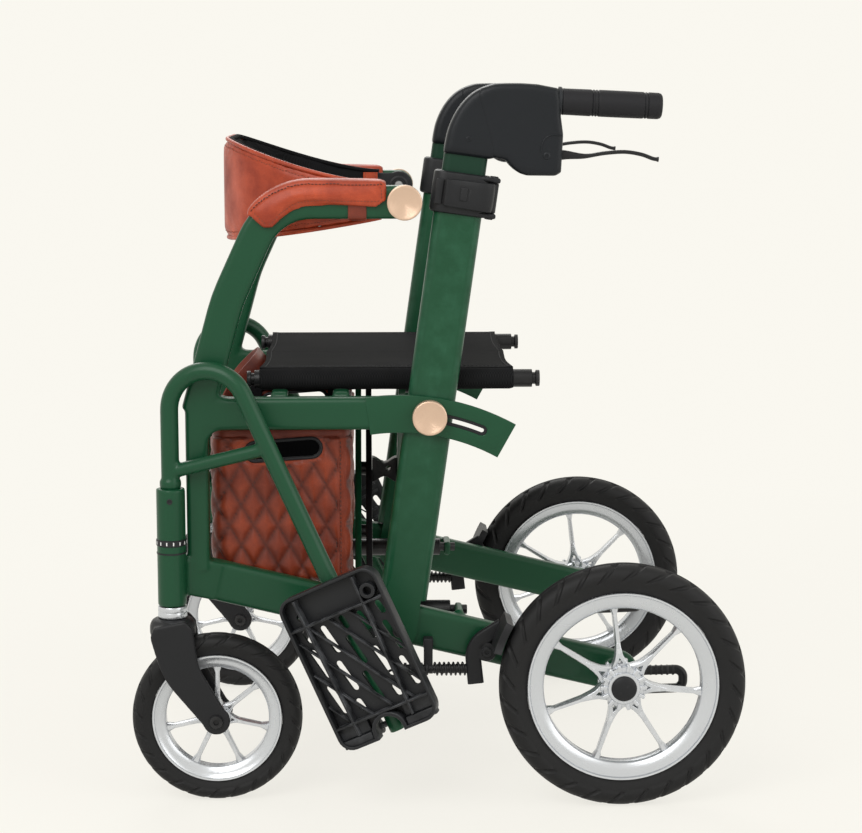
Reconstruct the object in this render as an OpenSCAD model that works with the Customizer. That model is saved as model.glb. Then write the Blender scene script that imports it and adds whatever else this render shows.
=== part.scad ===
// Rollator that turns into a transport chair: two welded side frames on an X-brace,
// reclining handle posts, a flip-over backrest band and swing-away footrests.
// Millimetres, +Z up, front towards -X. It is drawn as a rollator, with the footrests
// stowed. Inside the modules x is measured from the rear axle, y from the middle plane
// and z from the floor, and every paired piece is drawn on the left side, at -y.

/* [Wheels] */
// Rear axle to caster axle, with the casters trailing
wheel_base = 493; // [460:1:540]
// Radius of a rear tyre
rear_r = 150; // [140:1:160]
// Radius at which a rear tyre sits on its rim
rear_rim_r = 116; // [108:1:122]
// Width of a rear tyre
rear_tyre_w = 38; // [30:1:42]
// Distance between the rear wheel planes
rear_track = 590; // [580:1:640]
// Radius of a caster tyre
caster_r = 104; // [90:1:106]
// Radius at which a caster tyre sits on its rim
caster_rim_r = 79; // [70:1:82]
// Width of a caster tyre
caster_tyre_w = 34; // [26:1:36]
// How far the caster axle trails its steering axis
caster_trail = 53; // [40:1:60]
// Spokes in each wheel
spoke_count = 7; // [5:1:9]

/* [Side frame] */
// Distance between the steering axes
head_track = 516; // [512:1:540]
// Distance between the middle planes of the lower rails
side_track = 462; // [456:1:464]
// Diameter of a head tube
head_d = 35; // [32:1:38]
// Height of a head tube's lower end
head_low = 243; // [240:1:248]
// Height of a head tube's upper end
head_high = 388; // [376:1:396]
// Depth of a lower rail
rail_h = 50; // [44:1:54]
// Thickness of a lower rail
rail_t = 22; // [20:1:23]
// Height of a lower rail's middle line at its front end
rail_front_z = 276; // [270:1:290]
// Depth of an armrest tube and of a seat rail
arm_h = 40; // [34:1:42]
// Thickness of an armrest tube and of a seat rail
arm_t = 25; // [22:1:28]
// Height of an armrest tube's middle line
arm_z = 731; // [710:1:750]
// Height of a seat rail's middle line
seat_rail_z = 476; // [470:1:480]
// Width of the upright behind a head tube
upright_w = 28; // [24:1:32]
// Thickness of the slotted plate at the end of a seat rail
plate_t = 5; // [4:0.5:6]

/* [Posts and handles] */
// How far the post pivots lie ahead of the rear axle
post_ahead = 270; // [262:1:280]
// Height of a post pivot
post_pivot_z = 206; // [200:1:210]
// Lean of a post as a rollator, in degrees
post_lean = 8; // [6:0.5:10]
// Further recline of a post as a chair, in degrees
post_swing = 14; // [10:0.5:16]
// Post tube, front to back
post_w = 58; // [52:1:62]
// Post tube, side to side
post_t = 29; // [28:0.5:31]
// Wall of a post tube
post_wall = 2.6; // [2:0.1:3]
// Length of a post tube above its pivot
post_len = 555; // [540:1:565]
// Lock knob's distance from the post pivot
lock_up = 269; // [264:1:274]
// Diameter of the lock knobs and of the armrest buttons
cap_d = 42; // [38:1:46]
// Depth of a height clamp along the post
clamp_h = 50; // [44:1:54]
// Outer diameter of a grip
grip_d = 32; // [28:1:36]
// Length of a grip
grip_len = 122; // [110:1:130]
// Slope of a grip, in degrees
grip_slope = 2.7; // [0:0.1:5]
// Width of a handle housing
housing_w = 40; // [38:1:42]

/* [Footrests] */
// Diameter of a footrest tube
foot_d = 22; // [20:1:23]
// Diameter of the rung across a footrest's arch
rung_d = 17; // [14:1:18]
// Bend radius of a footrest's arch
foot_bend = 49; // [46:1:52]
// Reach of a footrest tube from its pivot to its end
foot_reach = 283; // [275:1:295]
// Height of a footrest tube's lower end
foot_end_z = 105; // [100:1:115]
// How far a stowed footrest points away from the frame, in degrees
foot_splay = 14; // [13:0.5:18]
// Width of a footplate
footplate_w = 130; // [110:1:136]
// Length of a footplate from its hinge
footplate_len = 188; // [170:1:195]

/* [Seat, brace and bag] */
// Height of the seat tubes' middle lines
seat_tube_z = 512; // [509:1:520]
// Distance between the seat tubes
seat_tube_track = 390; // [380:1:394]
// Diameter of a seat tube
seat_tube_d = 22; // [18:1:23]
// Length of a seat tube
seat_tube_len = 339; // [330:1:345]
// Distance between the lower brace pivots
brace_track = 380; // [370:1:390]
// Height of the lower brace pivots
brace_z = 219; // [216:1:222]
// Thickness of the seat sling
sling_t = 4; // [3:0.5:6]
// Front to back length of the seat sling
sling_len = 312; // [290:1:320]
// Bag, front to back
bag_len = 168; // [150:1:172]
// Lowest point of the bag above the floor
bag_low = 257; // [255:1:265]
// Upper edge of the bag above the floor
bag_high = 452; // [430:1:455]
// Wall of the bag
bag_wall = 5; // [3:0.5:8]
// Reach of the backrest band from its pivots
band_reach = 223; // [200:1:226]
// Height of the backrest band in the middle
band_h = 128; // [110:1:135]
// Thickness of the backrest band
band_t = 8; // [6:0.5:10]

/* [Brakes] */
// Curls of a brake spring
spring_curls = 7; // [4:1:9]
// Wire of a brake spring
spring_wire = 2.4; // [1.8:0.1:2.8]
// Middle diameter of a brake spring
spring_d = 15; // [12:0.5:17]

/* [Fits] */
// Radial clearance of a pin in its bore
pin_fit = 0.05; // [0.03:0.01:0.08]
// Clearance between pieces that slide or sit together
slide_fit = 0.1; // [0.05:0.01:0.15]
// Clearance between bodies that pass each other
pass_gap = 0.5; // [0.4:0.1:0.8]

/* [Hidden] */
$fn = 48;

frame_green = "#1f4a33";
stem_green = "#143626";
matt_black = "#232426";
soft_black = "#17181a";
leather_tan = "#9c4a2a";
cap_gold = "#dcb795";
rim_silver = "#d4d6d8";
steel = "#a9adb1";

// Main planes and places, worked out from the sizes above
base_x = (wheel_base + caster_r - rear_r) / 2;
head_x = -wheel_base - caster_trail;
head_y = -head_track / 2;
side_y = -side_track / 2;
wheel_y = -rear_track / 2;
frame_outer_y = side_y - post_t / 2 - pass_gap - plate_t;
arm_y = frame_outer_y + arm_t / 2;
frame_inner_y = frame_outer_y + arm_t;
rail_inner_y = side_y + rail_t / 2;
rail_outer_y = side_y - rail_t / 2;
post_inner_y = side_y + post_t / 2;
post_pivot = [-post_ahead, post_pivot_z];
rail_run = -head_x - 22;
rail_slope = atan2(rail_front_z - rear_r, rail_run);
arm_reach = 283.5;
flip_x = head_x + arm_reach;
seat_tube_y = -seat_tube_track / 2;
brace_y = -brace_track / 2;

// Lower frame
weld_gap = 0.2;
steer_r = 9;
steer_len = 67;
foot_insert = 58;
front_lug_len = 50;
rail_eye = 1.5;
post_bolt_r = 5;
axle_r = 6;
hub_half = 22;
axle_boss_r = 17;
lug_t = 10;
lug_r = 14;
lug_x = [-345, -195];
rod_r = 6;
brake_ahead = 13;
brake_up = 32;
brake_pivot = [-rear_r - brake_ahead, rear_r + brake_up];
brake_pin_r = 4;
brake_arm_t = 11;
brake_boss_len = 8;

// Upper frame
upright_x = head_x + head_d / 2 + weld_gap + upright_w / 2;
arm_foot = [head_x + 33, seat_rail_z + 4];
arm_knee = [head_x + 70, arm_z - 118];
arm_corner = [head_x + 124.2, arm_z];
arm_knee_bend = 200;
arm_bend = 75;
seat_rail_end = post_pivot[0];
slot_half = 6.3;
plate_before = 4;
plate_after = 7;
flip_pin_r = 8;
cap_travel = 4;
neck_r = 16;
cradle_w = 20;
cradle_h = 12;
cradle_x = [-425, -350];

// Posts, stems and clamps
post_round = 11;
post_foot = 40;
cheek_r = 22;
bolt_head_r = 9;
bolt_head_t = 3;
lock_pin_r = 5;
knob_t = 14;
stem_w = post_w - 2 * post_wall - 2 * slide_fit;
stem_t = post_t - 2 * post_wall - 2 * slide_fit;
stem_low = 330;
stem_high = 604;
stem_show = 585;
clamp_low = post_len - 40;
clamp_wall = 6;
clamp_round = 15;
lug_reach = 25;
lever_w = 22;
lever_t = 7;
clamp_pin_r = 3;
clamp_pin_y = -9;
lever_back = 7.5;

// Handles
grip_start = [-76, 850];
grip_bore_r = 10;
grip_lead = 2;
grip_tail = 3;
lever_pivot = [-93, 786];
lever_pin_r = 3;
lever_root_r = 9;
lever_wide = 13;
lever_reach = 136;
lever_wave = [[0, 0], [5 / 17, 0], [10 / 17, 3], [14 / 17, 3], [1, -5]];
lever_slot = 2 * lever_root_r + 8;

// Backrest hinges and band
bracket_hub_r = 19;
bracket_t = 2.8;
bracket_h = 34;
bracket_len = 62;
bracket_outer_y = post_inner_y + clamp_wall + pass_gap;
band_outer_y = bracket_outer_y + bracket_t + weld_gap;
band_corner = 140;
band_end_h = 46;
band_end = 26;

// Casters
fork_gap = 3;
fork_t = 9;
fork_top = head_low - 15;
fork_crown_h = 17;
fork_crown_r = 29;
collar_gap = 1;
caster_axle_r = 5;
caster_hub_r = 17;

// Footrests
foot_r = foot_d / 2;
foot_corner_z = foot_end_z + (foot_reach * 595 / 283);
foot_slope = atan2(foot_reach, foot_corner_z - foot_end_z);
foot_pin_r = 4;
foot_tail = 12;
footplate_t = 5;
footplate_rim = 15;
footplate_round = 18;
footplate_below = 10;
notch_half = foot_r + 6;
notch_h = 24;
ear_w = 14;

// Brace and seat
brace_angle = atan2(seat_tube_z - brace_z, -seat_tube_y - brace_y);
brace_len = norm([-seat_tube_y - brace_y, seat_tube_z - brace_z]);
bar_w = 22;
bar_h = 28;
front_bar_x = -313;
rear_bar_x = -258;
seat_tube_x = -445;
seat_cap_len = 10;
sling_x = -440;

// Brakes
tyre_gap = 3;
adjuster_ahead = 106;
adjuster_drop = 22;
adjuster_x = brake_pivot[0] - adjuster_ahead;
adjuster_z = brake_pivot[1] - adjuster_drop;
adjuster_len = 40;
spring_len = 42;
cable_d = 3.2;
cable_grommet_r = 5;
cable_bends = [[-34, 44], [-35, 34], [-38, 24], [-42, 15], [-44, 6], [-41, -3], [-34, -8],
               [-26, -8], [-18, -5], [-10, -1], [1, 0]];
cable_route = [for (p = cable_bends) [adjuster_x, adjuster_z] + p];

// Shared shapes

function unit(v) = v / norm(v);
function heading(v) = atan2(v[1], v[0]);
function turn(a, b) = atan2(cross(a, b), a * b);
function rail_z(x) = rear_r - x * tan(rail_slope);
function polar(r, a) = [r * cos(a), r * sin(a)];

module left() {
    translate([base_x, 0, 0]) children();
}

module right() {
    translate([base_x, 0, 0]) mirror([0, 1, 0]) children();
}

// A rectangle with round corners
module rounded(w, h, r) {
    square([w - 2 * r, h], center = true);
    square([w, h - 2 * r], center = true);
    for (x = [-1, 1], y = [-1, 1]) translate([x * (w / 2 - r), y * (h / 2 - r)]) circle(r);
}

// A way in the XZ plane: straight runs with a bend at each inner corner, as places and headings
bend_step = 9;
function way(points, bends) = let (last = len(points) - 1) concat(
    [concat(points[0], heading(points[1] - points[0]))],
    [for (i = [1:1:last - 1]) each let (
        a = unit(points[i] - points[i - 1]),
        swing = turn(a, points[i + 1] - points[i]),
        r = bends[i - 1],
        centre = points[i] - a * r * tan(abs(swing) / 2) + sign(swing) * r * [-a[1], a[0]],
        steps = ceil(abs(swing) / bend_step))
        [for (k = [0:steps]) let (h = heading(a) + swing * k / steps)
            concat(centre + polar(r, h - 90 * sign(swing)), h)]],
    [concat(points[last], heading(points[last] - points[last - 1]))]);

// The outline of a flat bar along a way, as wide at its two ends as stated
function bar_side(w, i, half, end_half) = let (t = i / (len(w) - 1))
    polar(half + t * (end_half - half), w[i][2] + 90);
function flat_bar(w, half, end_half) = concat(
    [for (i = [0:len(w) - 1]) [w[i][0], w[i][1]] + bar_side(w, i, half, end_half)],
    [for (i = [len(w) - 1:-1:0]) [w[i][0], w[i][1]] - bar_side(w, i, half, end_half)]);

// The rings of a round tube along a way, in the plane at y
function tube_rings(w, r, sides, y) = [for (p = w) [for (j = [0:sides - 1]) let (b = 360 * j / sides)
    [p[0] - r * cos(b) * sin(p[2]), y + r * sin(b), p[1] + r * cos(b) * cos(p[2])]]];

// A cylinder along Y, from the outer side inwards
module cross_pin(at, r, outer_y, inner_y) {
    translate([at[0], inner_y, at[1]]) rotate([90, 0, 0]) cylinder(r = r, h = inner_y - outer_y);
}

// A shape in the XZ plane, thickened along Y
module side_plate(outer_y, inner_y) {
    translate([0, inner_y, 0]) rotate([90, 0, 0]) linear_extrude(inner_y - outer_y) children();
}

// One flat section of a sweep: triangles between rings of points, closed at both ends
module swept(rings) {
    n = len(rings[0]);
    m = len(rings);
    polyhedron(
        points = [for (ring = rings) each ring],
        faces = concat(
            [for (i = [0:m - 2], j = [0:n - 1]) [i * n + j, i * n + (j + 1) % n, (i + 1) * n + j]],
            [for (i = [0:m - 2], j = [0:n - 1])
                [i * n + (j + 1) % n, (i + 1) * n + (j + 1) % n, (i + 1) * n + j]],
            [for (j = [1:n - 2]) [0, j + 1, j]],
            [for (j = [1:n - 2]) [(m - 1) * n, (m - 1) * n + j, (m - 1) * n + j + 1]]));
}

// Side frames

module lower_rail(grow = 0) {
    lug_end = head_x + front_lug_len;
    half = rail_h / 2 + grow;
    side_plate(rail_outer_y - grow, rail_inner_y + grow) {
        translate([0, rear_r]) circle(half + rail_eye);
        polygon(flat_bar(way([[head_x, rail_z(head_x)], [0, rear_r]], []), half, half));
    }
    side_plate(head_y, side_y)
        polygon(flat_bar(way([[head_x, rail_z(head_x)], [lug_end, rail_z(lug_end)]], []),
            half - 1, half - 1));
}

module head_tube(grow = 0) {
    translate([head_x, head_y, head_low]) cylinder(d = head_d + 2 * grow, h = head_high - head_low + grow);
}

module brace_lug(x) {
    reach = brace_y - rail_inner_y + 2;
    translate([x - lug_t / 2, brace_y, brace_z]) rotate([90, 0, 90]) linear_extrude(lug_t) {
        circle(lug_r);
        translate([-reach, -lug_r]) square([reach, lug_r * 1.4]);
    }
}

module lower_frame() color(frame_green) {
    hub_inner_y = wheel_y + hub_half + pass_gap;
    difference() {
        union() {
            head_tube();
            lower_rail();
            for (x = lug_x) brace_lug(x);
            cross_pin([0, rear_r], axle_boss_r, hub_inner_y, side_y);
            cross_pin(brake_pivot, 2 * brake_pin_r, rail_outer_y - brake_boss_len, side_y);
            cross_pin(brake_pivot, brake_pin_r,
                rail_outer_y - brake_boss_len - brake_arm_t - pass_gap, side_y);
        }
        translate([head_x, head_y, head_low - 1]) cylinder(r = steer_r + pin_fit, h = steer_len + 1);
        translate([head_x, head_y, head_high - foot_insert])
            cylinder(r = foot_r + pin_fit, h = foot_insert + 1);
        cross_pin([0, rear_r], axle_r + slide_fit, wheel_y, rail_inner_y + 1);
        cross_pin(post_pivot, post_bolt_r + pin_fit, rail_outer_y - 1, rail_inner_y + 1);
        for (x = lug_x) translate([x - lug_t, brace_y, brace_z]) rotate([0, 90, 0])
            cylinder(r = rod_r + pin_fit, h = 2 * lug_t);
    }
}

arm_way = way([arm_foot, arm_knee, arm_corner, [flip_x, arm_z]], [arm_knee_bend, arm_bend]);

module arm_tube(grow = 0) {
    side_plate(frame_outer_y - grow, frame_inner_y + grow)
        polygon(flat_bar(arm_way, arm_h / 2 + grow, arm_h / 2 + grow));
}

// The plate that stops a post: an arc about the post's pivot
module recline_arc(from_lean, to_lean, r, half, outer_y, inner_y) {
    translate([post_pivot[0], 0, post_pivot[1]]) rotate([90, 0, 0]) rotate([0, 0, 90 - to_lean])
        rotate_extrude(angle = to_lean - from_lean)
            translate([r - half, -inner_y]) square([2 * half, inner_y - outer_y]);
}

module upper_frame() color(frame_green) {
    lock_r = seat_rail_z - post_pivot_z;
    upright_low = rail_z(upright_x) + rail_h / 3;
    plate_inner_y = frame_outer_y + plate_t;
    last_lean = post_lean + post_swing;
    difference() {
        union() {
            side_plate(frame_outer_y, frame_inner_y) {
                polygon(flat_bar(arm_way, arm_h / 2, arm_h / 2));
                translate([upright_x - upright_w / 2, upright_low])
                    square([upright_w, seat_rail_z + arm_h / 2 - upright_low]);
                translate([upright_x, seat_rail_z - arm_h / 2])
                    square([seat_rail_end - arm_h / 4 - upright_x, arm_h]);
            }
            side_plate(frame_outer_y, plate_inner_y)
                translate([seat_rail_end - arm_h, seat_rail_z - arm_h / 2]) square([arm_h, arm_h]);
            recline_arc(-plate_before, last_lean + plate_after, lock_r, arm_h / 2 + 3,
                frame_outer_y, plate_inner_y);
            cross_pin([flip_x, arm_z], arm_h / 2, frame_outer_y + cap_travel + 1, frame_inner_y);
            cross_pin([flip_x, arm_z], neck_r, frame_outer_y, frame_inner_y);
            for (x = cradle_x) translate([x, frame_inner_y - 2, seat_cradle_z() - cradle_h])
                cube([cradle_w, seat_tube_y + seat_tube_d / 2 - frame_inner_y, cradle_h]);
        }
        lower_rail(weld_gap);
        head_tube(weld_gap);
        recline_arc(post_lean, last_lean, lock_up, slot_half, frame_outer_y - 1, plate_inner_y + 1);
        for (lean = [post_lean, last_lean])
            cross_pin(post_pivot + polar(lock_up, 90 - lean), slot_half,
                frame_outer_y - 1, plate_inner_y + 1);
        cross_pin([flip_x, arm_z], flip_pin_r + pin_fit, frame_outer_y - 1, frame_inner_y + 1);
        difference() {
            cross_pin([flip_x, arm_z], cap_d / 2 + pass_gap, frame_outer_y - 1,
                frame_outer_y + cap_travel + 1);
            cross_pin([flip_x, arm_z], neck_r, frame_outer_y - 2, frame_inner_y);
        }
    }
}

function seat_cradle_z() = seat_tube_z - seat_tube_d / 2 - 0.3;

// Armrest pads: a crowned wrap over the bend and the level run of the tube
pad_from = 52;
pad_back = 21;
pad_rise = 30;
pad_half = arm_t / 2 + 8;
pad_steps = 6;
pad_sides = 16;
arm_bend_at = [arm_corner[0] + arm_bend * tan(turn(arm_corner - arm_knee, [1, 0]) / -2), arm_z - arm_bend];
pad_last_x = flip_x - pad_back;

function pad_place(i) = i <= pad_steps
    ? let (a = 90 + pad_from * (1 - i / pad_steps)) concat(arm_bend_at + polar(arm_bend, a), a)
    : let (t = (i - pad_steps) / pad_steps)
        [arm_bend_at[0] + t * (pad_last_x - arm_bend_at[0]), arm_z, 90];
function pad_swell(i) = pow(1 - pow(abs(i / pad_steps - 1), 7) * 0.75, 0.5);
function pad_ring(i) = let (p = pad_place(i), s = pad_swell(i))
    [for (j = [0:pad_sides - 1]) let (
        b = -360 * j / pad_sides,
        side = pad_half * s * sign(cos(b)) * pow(abs(cos(b)), 0.7),
        rise = pad_rise / 2 * (1 + s * sign(sin(b)) * pow(abs(sin(b)), 0.7)))
        [p[0] + rise * cos(p[2]), arm_y + side, p[1] + rise * sin(p[2])]];

module armrest_pad() color(leather_tan) difference() {
    swept([for (i = [0:2 * pad_steps]) pad_ring(i)]);
    arm_tube(0.3);
}

// A round dished cap on a pin, its face towards -y
module dished_cap(r, t, pin_r, pin_len, recess_r, recess) {
    dish = 1.5;
    rotate([90, 0, 0]) difference() {
        union() {
            cylinder(r = r - 1, h = t);
            cylinder(r = r, h = t - 1);
            translate([0, 0, -pin_len]) cylinder(r = pin_r, h = pin_len + 1);
        }
        translate([0, 0, t + 80 - dish]) sphere(r = 80);
        if (recess > 0) difference() {
            translate([0, 0, -1]) cylinder(r = recess_r, h = recess + 1);
            translate([0, 0, -pin_len - 1]) cylinder(r = pin_r, h = pin_len + recess + 2);
        }
    }
}

module armrest_button() color(cap_gold) translate([flip_x, frame_outer_y + 1 - pass_gap, arm_z])
    dished_cap(cap_d / 2, 13, flip_pin_r, 8, neck_r + pass_gap, cap_travel + 1 + pass_gap);

// Posts and handles

module on_post() {
    translate([post_pivot[0], side_y, post_pivot[1]]) rotate([0, post_lean, 0]) children();
}

module post() color(frame_green) on_post() {
    inner_w = post_w - 2 * post_wall;
    inner_t = post_t - 2 * post_wall;
    difference() {
        union() {
            translate([0, 0, post_foot]) linear_extrude(post_len - post_foot)
                rounded(post_w, post_t, post_round);
            for (side = [-1, 1]) translate([0, side * (post_t - post_wall) / 2 + post_wall / 2, 0])
                rotate([90, 0, 0]) linear_extrude(post_wall) {
                    circle(cheek_r);
                    polygon([[-cheek_r, 0], [cheek_r, 0], [post_w / 2 - 8, post_foot + 20],
                        [8 - post_w / 2, post_foot + 20]]);
                }
        }
        translate([0, 0, post_foot + 25]) linear_extrude(post_len)
            rounded(inner_w, inner_t, post_round - post_wall);
        cross_pin([0, lock_up], lock_pin_r + slide_fit, -post_t, 0);
    }
    cross_pin([0, 0], post_bolt_r, -post_t / 2, post_t / 2);
    for (y = [-post_t / 2, post_t / 2 + bolt_head_t])
        cross_pin([0, 0], bolt_head_r, y - bolt_head_t, y);
}

module lock_knob() color(cap_gold) on_post()
    translate([0, frame_outer_y - side_y - pass_gap, lock_up])
        dished_cap(cap_d / 2, knob_t, lock_pin_r, plate_t + 2 * pass_gap + post_wall, lock_pin_r, 0);

module height_clamp() color(matt_black) on_post() {
    outer_w = post_w + 2 * clamp_wall;
    outer_t = post_t + 2 * clamp_wall;
    difference() {
        union() {
            translate([0, 0, clamp_low]) linear_extrude(clamp_h) {
                rounded(outer_w, outer_t, clamp_round);
                translate([outer_w / 2 - clamp_round, -outer_t / 2]) square([lug_reach, outer_t * 0.7]);
            }
            translate([-outer_w / 5, -outer_t / 2 - 1.5, clamp_low + clamp_h / 3])
                cube([clamp_h / 4, outer_t / 2, clamp_h / 2.5]);
        }
        translate([0, 0, clamp_low - 1]) linear_extrude(post_len - clamp_low + 1 + slide_fit)
            rounded(post_w + 2 * slide_fit, post_t + 2 * slide_fit, post_round);
        translate([0, 0, clamp_low]) linear_extrude(clamp_h + 1)
            rounded(stem_w + 4 * slide_fit, stem_t + 4 * slide_fit, post_round - post_wall);
        translate([clamp_pin_x(), clamp_pin_y, clamp_low - 1])
            cylinder(r = clamp_pin_r + pin_fit, h = clamp_h + 2);
        translate([clamp_pin_x() - lever_back, -outer_t, clamp_low + (clamp_h - lever_w) / 2 - pass_gap])
            cube([outer_w, outer_t - clamp_pin_y, lever_w + 2 * pass_gap]);
    }
}

function clamp_pin_x() = post_w / 2 + clamp_wall - clamp_round + lug_reach - 8;

module clamp_lever() color(soft_black) on_post() translate([0, 0, clamp_low + clamp_h / 2]) {
    lever_face = -post_t / 2 - clamp_wall - 2 - pass_gap;
    translate([clamp_pin_x(), clamp_pin_y, 0]) {
        cylinder(r = clamp_pin_r, h = clamp_h - 4, center = true);
        cylinder(r = 7, h = lever_w, center = true);
    }
    translate([0, 0, -lever_w / 2]) linear_extrude(lever_w) {
        translate([clamp_pin_x() - 6, lever_face - lever_t])
            square([13, clamp_pin_y - lever_face + lever_t]);
        translate([-4, lever_face - lever_t]) square([clamp_pin_x(), lever_t]);
        translate([-4, lever_face - lever_t / 2]) circle(lever_t / 2);
    }
}

module stem_shape(grow) {
    translate([0, 0, stem_low]) linear_extrude(stem_high - stem_low + grow)
        rounded(stem_w + 2 * grow, stem_t + 2 * grow, post_round - post_wall - slide_fit + grow);
}

module handle_stem() color(stem_green) on_post() stem_shape(0);

function stem_at(s, w) = post_pivot + [w * cos(post_lean) + s * sin(post_lean),
    s * cos(post_lean) - w * sin(post_lean)];

// Outline of a handle housing: a neck on the stem, an elbow and a deep fin at the back
module housing_outline() {
    front = stem_at(stem_show, -stem_w / 2 - 1);
    back = stem_at(stem_show, stem_w / 2 + 1);
    top = grip_start[1] + 22;
    polygon([front, front + [4, 24], front + [15, 50], front + [32, 70], front + [52, 81],
        [front[0] + 72, top], [grip_start[0] - 30, top - 2], [grip_start[0], grip_start[1] + grip_d / 2],
        [grip_start[0], grip_start[1] - grip_d / 2], [grip_start[0] + 3, lever_pivot[1] + 24],
        [grip_start[0], lever_pivot[1] - 25], [lever_pivot[0] - 25, lever_pivot[1] - 24],
        [lever_pivot[0] - 38, lever_pivot[1] - 16], [lever_pivot[0] - 47, lever_pivot[1] - 5],
        back + [2, 2], back]);
}

module along_grip() {
    translate([grip_start[0], side_y, grip_start[1]]) rotate([0, 90 + grip_slope, 0]) children();
}

module handle_housing() color(matt_black) {
    difference() {
        union() {
            side_plate(side_y - housing_w / 2, side_y + housing_w / 2) housing_outline();
            along_grip() translate([0, 0, -20]) cylinder(r = grip_bore_r, h = 20 + grip_len - 4);
        }
        on_post() stem_shape(slide_fit);
        translate([lever_pivot[0], side_y - lever_wide / 2 - pass_gap, lever_pivot[1]])
            translate([-lever_slot / 2, 0, -lever_slot / 2])
                cube([lever_slot * 2, lever_wide + 2 * pass_gap, lever_slot]);
    }
    cross_pin(lever_pivot, lever_pin_r, side_y - housing_w / 2, side_y + housing_w / 2);
}

module grip() color(soft_black) along_grip() difference() {
    union() {
        translate([0, 0, grip_lead]) cylinder(d = grip_d, h = grip_len - grip_lead - grip_tail);
        translate([0, 0, grip_lead / 2]) cylinder(d = grip_d - 3, h = grip_len - grip_lead / 2);
    }
    translate([0, 0, -1]) cylinder(r = grip_bore_r + slide_fit, h = grip_len - grip_tail + slide_fit);
}

module brake_lever() color(soft_black) translate([0, side_y, 0]) difference() {
    union() {
        translate([0, lever_wide / 2, 0]) cross_pin(lever_pivot, lever_root_r, -lever_wide, 0);
        side_plate(-lever_wide / 2, lever_wide / 2)
            polygon(flat_bar(way([for (p = lever_wave) lever_pivot + [p[0] * lever_reach, p[1]]],
                [60, 60, 40]), 7, 2.5));
    }
    cross_pin(lever_pivot, lever_pin_r + pin_fit, -lever_wide, lever_wide);
}

// Backrest

module backrest_hinge() color(soft_black) {
    hub_outer_y = frame_inner_y + pass_gap;
    cross_pin([flip_x, arm_z], bracket_hub_r, hub_outer_y, bracket_outer_y + bracket_t);
    cross_pin([flip_x, arm_z], flip_pin_r, frame_inner_y - arm_t / 2, hub_outer_y);
    side_plate(bracket_outer_y, bracket_outer_y + bracket_t) {
        translate([flip_x - bracket_len, arm_z - bracket_h / 2]) square([bracket_len, bracket_h]);
        translate([flip_x - bracket_len, arm_z]) circle(bracket_h / 2);
    }
}

module backrest_band() color(leather_tan) intersection() {
    wide = -2 * band_outer_y;
    translate([flip_x, 0, arm_z - band_h]) linear_extrude(2 * band_h) difference() {
        rounded(2 * band_reach, wide, band_corner);
        rounded(2 * band_reach - 2 * band_t, wide - 2 * band_t, band_corner - band_t);
    }
    side_plate(-wide, wide) polygon([[flip_x - band_end, arm_z - band_end_h / 2],
        [flip_x - band_end, arm_z + band_end_h / 2], [flip_x - band_reach - 1, arm_z + band_h / 2 + 10],
        [flip_x - band_reach - 1, arm_z - band_h / 2 + 10]]);
}

// Wheels

// A rim with blade spokes and a hub, its axis along Y
module spoked_wheel(rim_r, rim_deep, wide, hub_r, hub_w, bore_r, root, tip, blade) {
    rim_in = rim_r - rim_deep;
    rotate([90, 0, 0]) difference() {
        union() {
            rotate_extrude() translate([rim_in, 0]) {
                translate([0, -wide / 2]) square([rim_deep / 2, wide]);
                translate([0, -wide * 0.36]) square([rim_deep, wide * 0.72]);
            }
            translate([0, 0, -hub_w / 2]) cylinder(r = hub_r, h = hub_w);
            for (i = [0:spoke_count - 1]) rotate([0, 0, 360 * i / spoke_count + 90])
                translate([0, 0, -blade / 2]) linear_extrude(blade)
                    polygon([[0, -root], [hub_r, -root], [hub_r + root, -tip], [rim_in + 2, -tip * 1.15],
                        [rim_in + 2, tip * 1.15], [hub_r + root, tip], [hub_r, root], [0, root]]);
        }
        translate([0, 0, -hub_w]) cylinder(r = bore_r, h = 2 * hub_w);
    }
}

module tyre(outer_r, rim_r, wide) {
    deep = outer_r - rim_r;
    rotate([90, 0, 0]) rotate_extrude() translate([rim_r + deep / 2, 0])
        rounded(deep, wide, min(deep, wide) * 0.4);
}

module rear_wheel() color(rim_silver) translate([0, wheel_y, rear_r])
    spoked_wheel(rear_rim_r, 20, rear_tyre_w - 6, 27, 2 * hub_half, axle_r + pin_fit, 11, 5, 16);

module rear_tyre() color(soft_black) translate([0, wheel_y, rear_r]) tyre(rear_r, rear_rim_r, rear_tyre_w);

module rear_axle() color(matt_black) {
    outer_y = wheel_y - hub_half - pass_gap;
    cross_pin([0, rear_r], axle_r, outer_y, rail_inner_y);
    translate([0, outer_y, rear_r]) rotate([90, 0, 0]) {
        cylinder(r = 16, h = 3);
        translate([0, 0, 3]) cylinder(r = 13, h = 2);
    }
}

module at_caster() {
    translate([head_x, head_y, 0]) children();
}

module caster_fork() color(matt_black) at_caster() {
    blade_y = caster_tyre_w / 2 + fork_gap + fork_t / 2;
    difference() {
        union() {
            translate([0, 0, fork_top - fork_crown_h]) cylinder(r = fork_crown_r, h = fork_crown_h);
            translate([0, 0, fork_top - 1]) cylinder(r = head_d / 2 - 1, h = 2);
            translate([0, 0, fork_top - 1]) cylinder(r = steer_r, h = head_low + steer_len - 5 - fork_top);
            for (side = [-1, 1]) translate([0, side * blade_y, 0]) {
                side_plate(-fork_t / 2, fork_t / 2)
                    polygon(flat_bar(way([[0, fork_top - fork_crown_h / 4],
                        [4, fork_top - fork_crown_h - 45], [caster_trail, caster_r]], [60]), 21, 16));
                cross_pin([caster_trail, caster_r], 17, -fork_t / 2, fork_t / 2);
            }
        }
        cross_pin([caster_trail, caster_r], caster_axle_r + slide_fit, -2 * blade_y, 2 * blade_y);
    }
}

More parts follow.
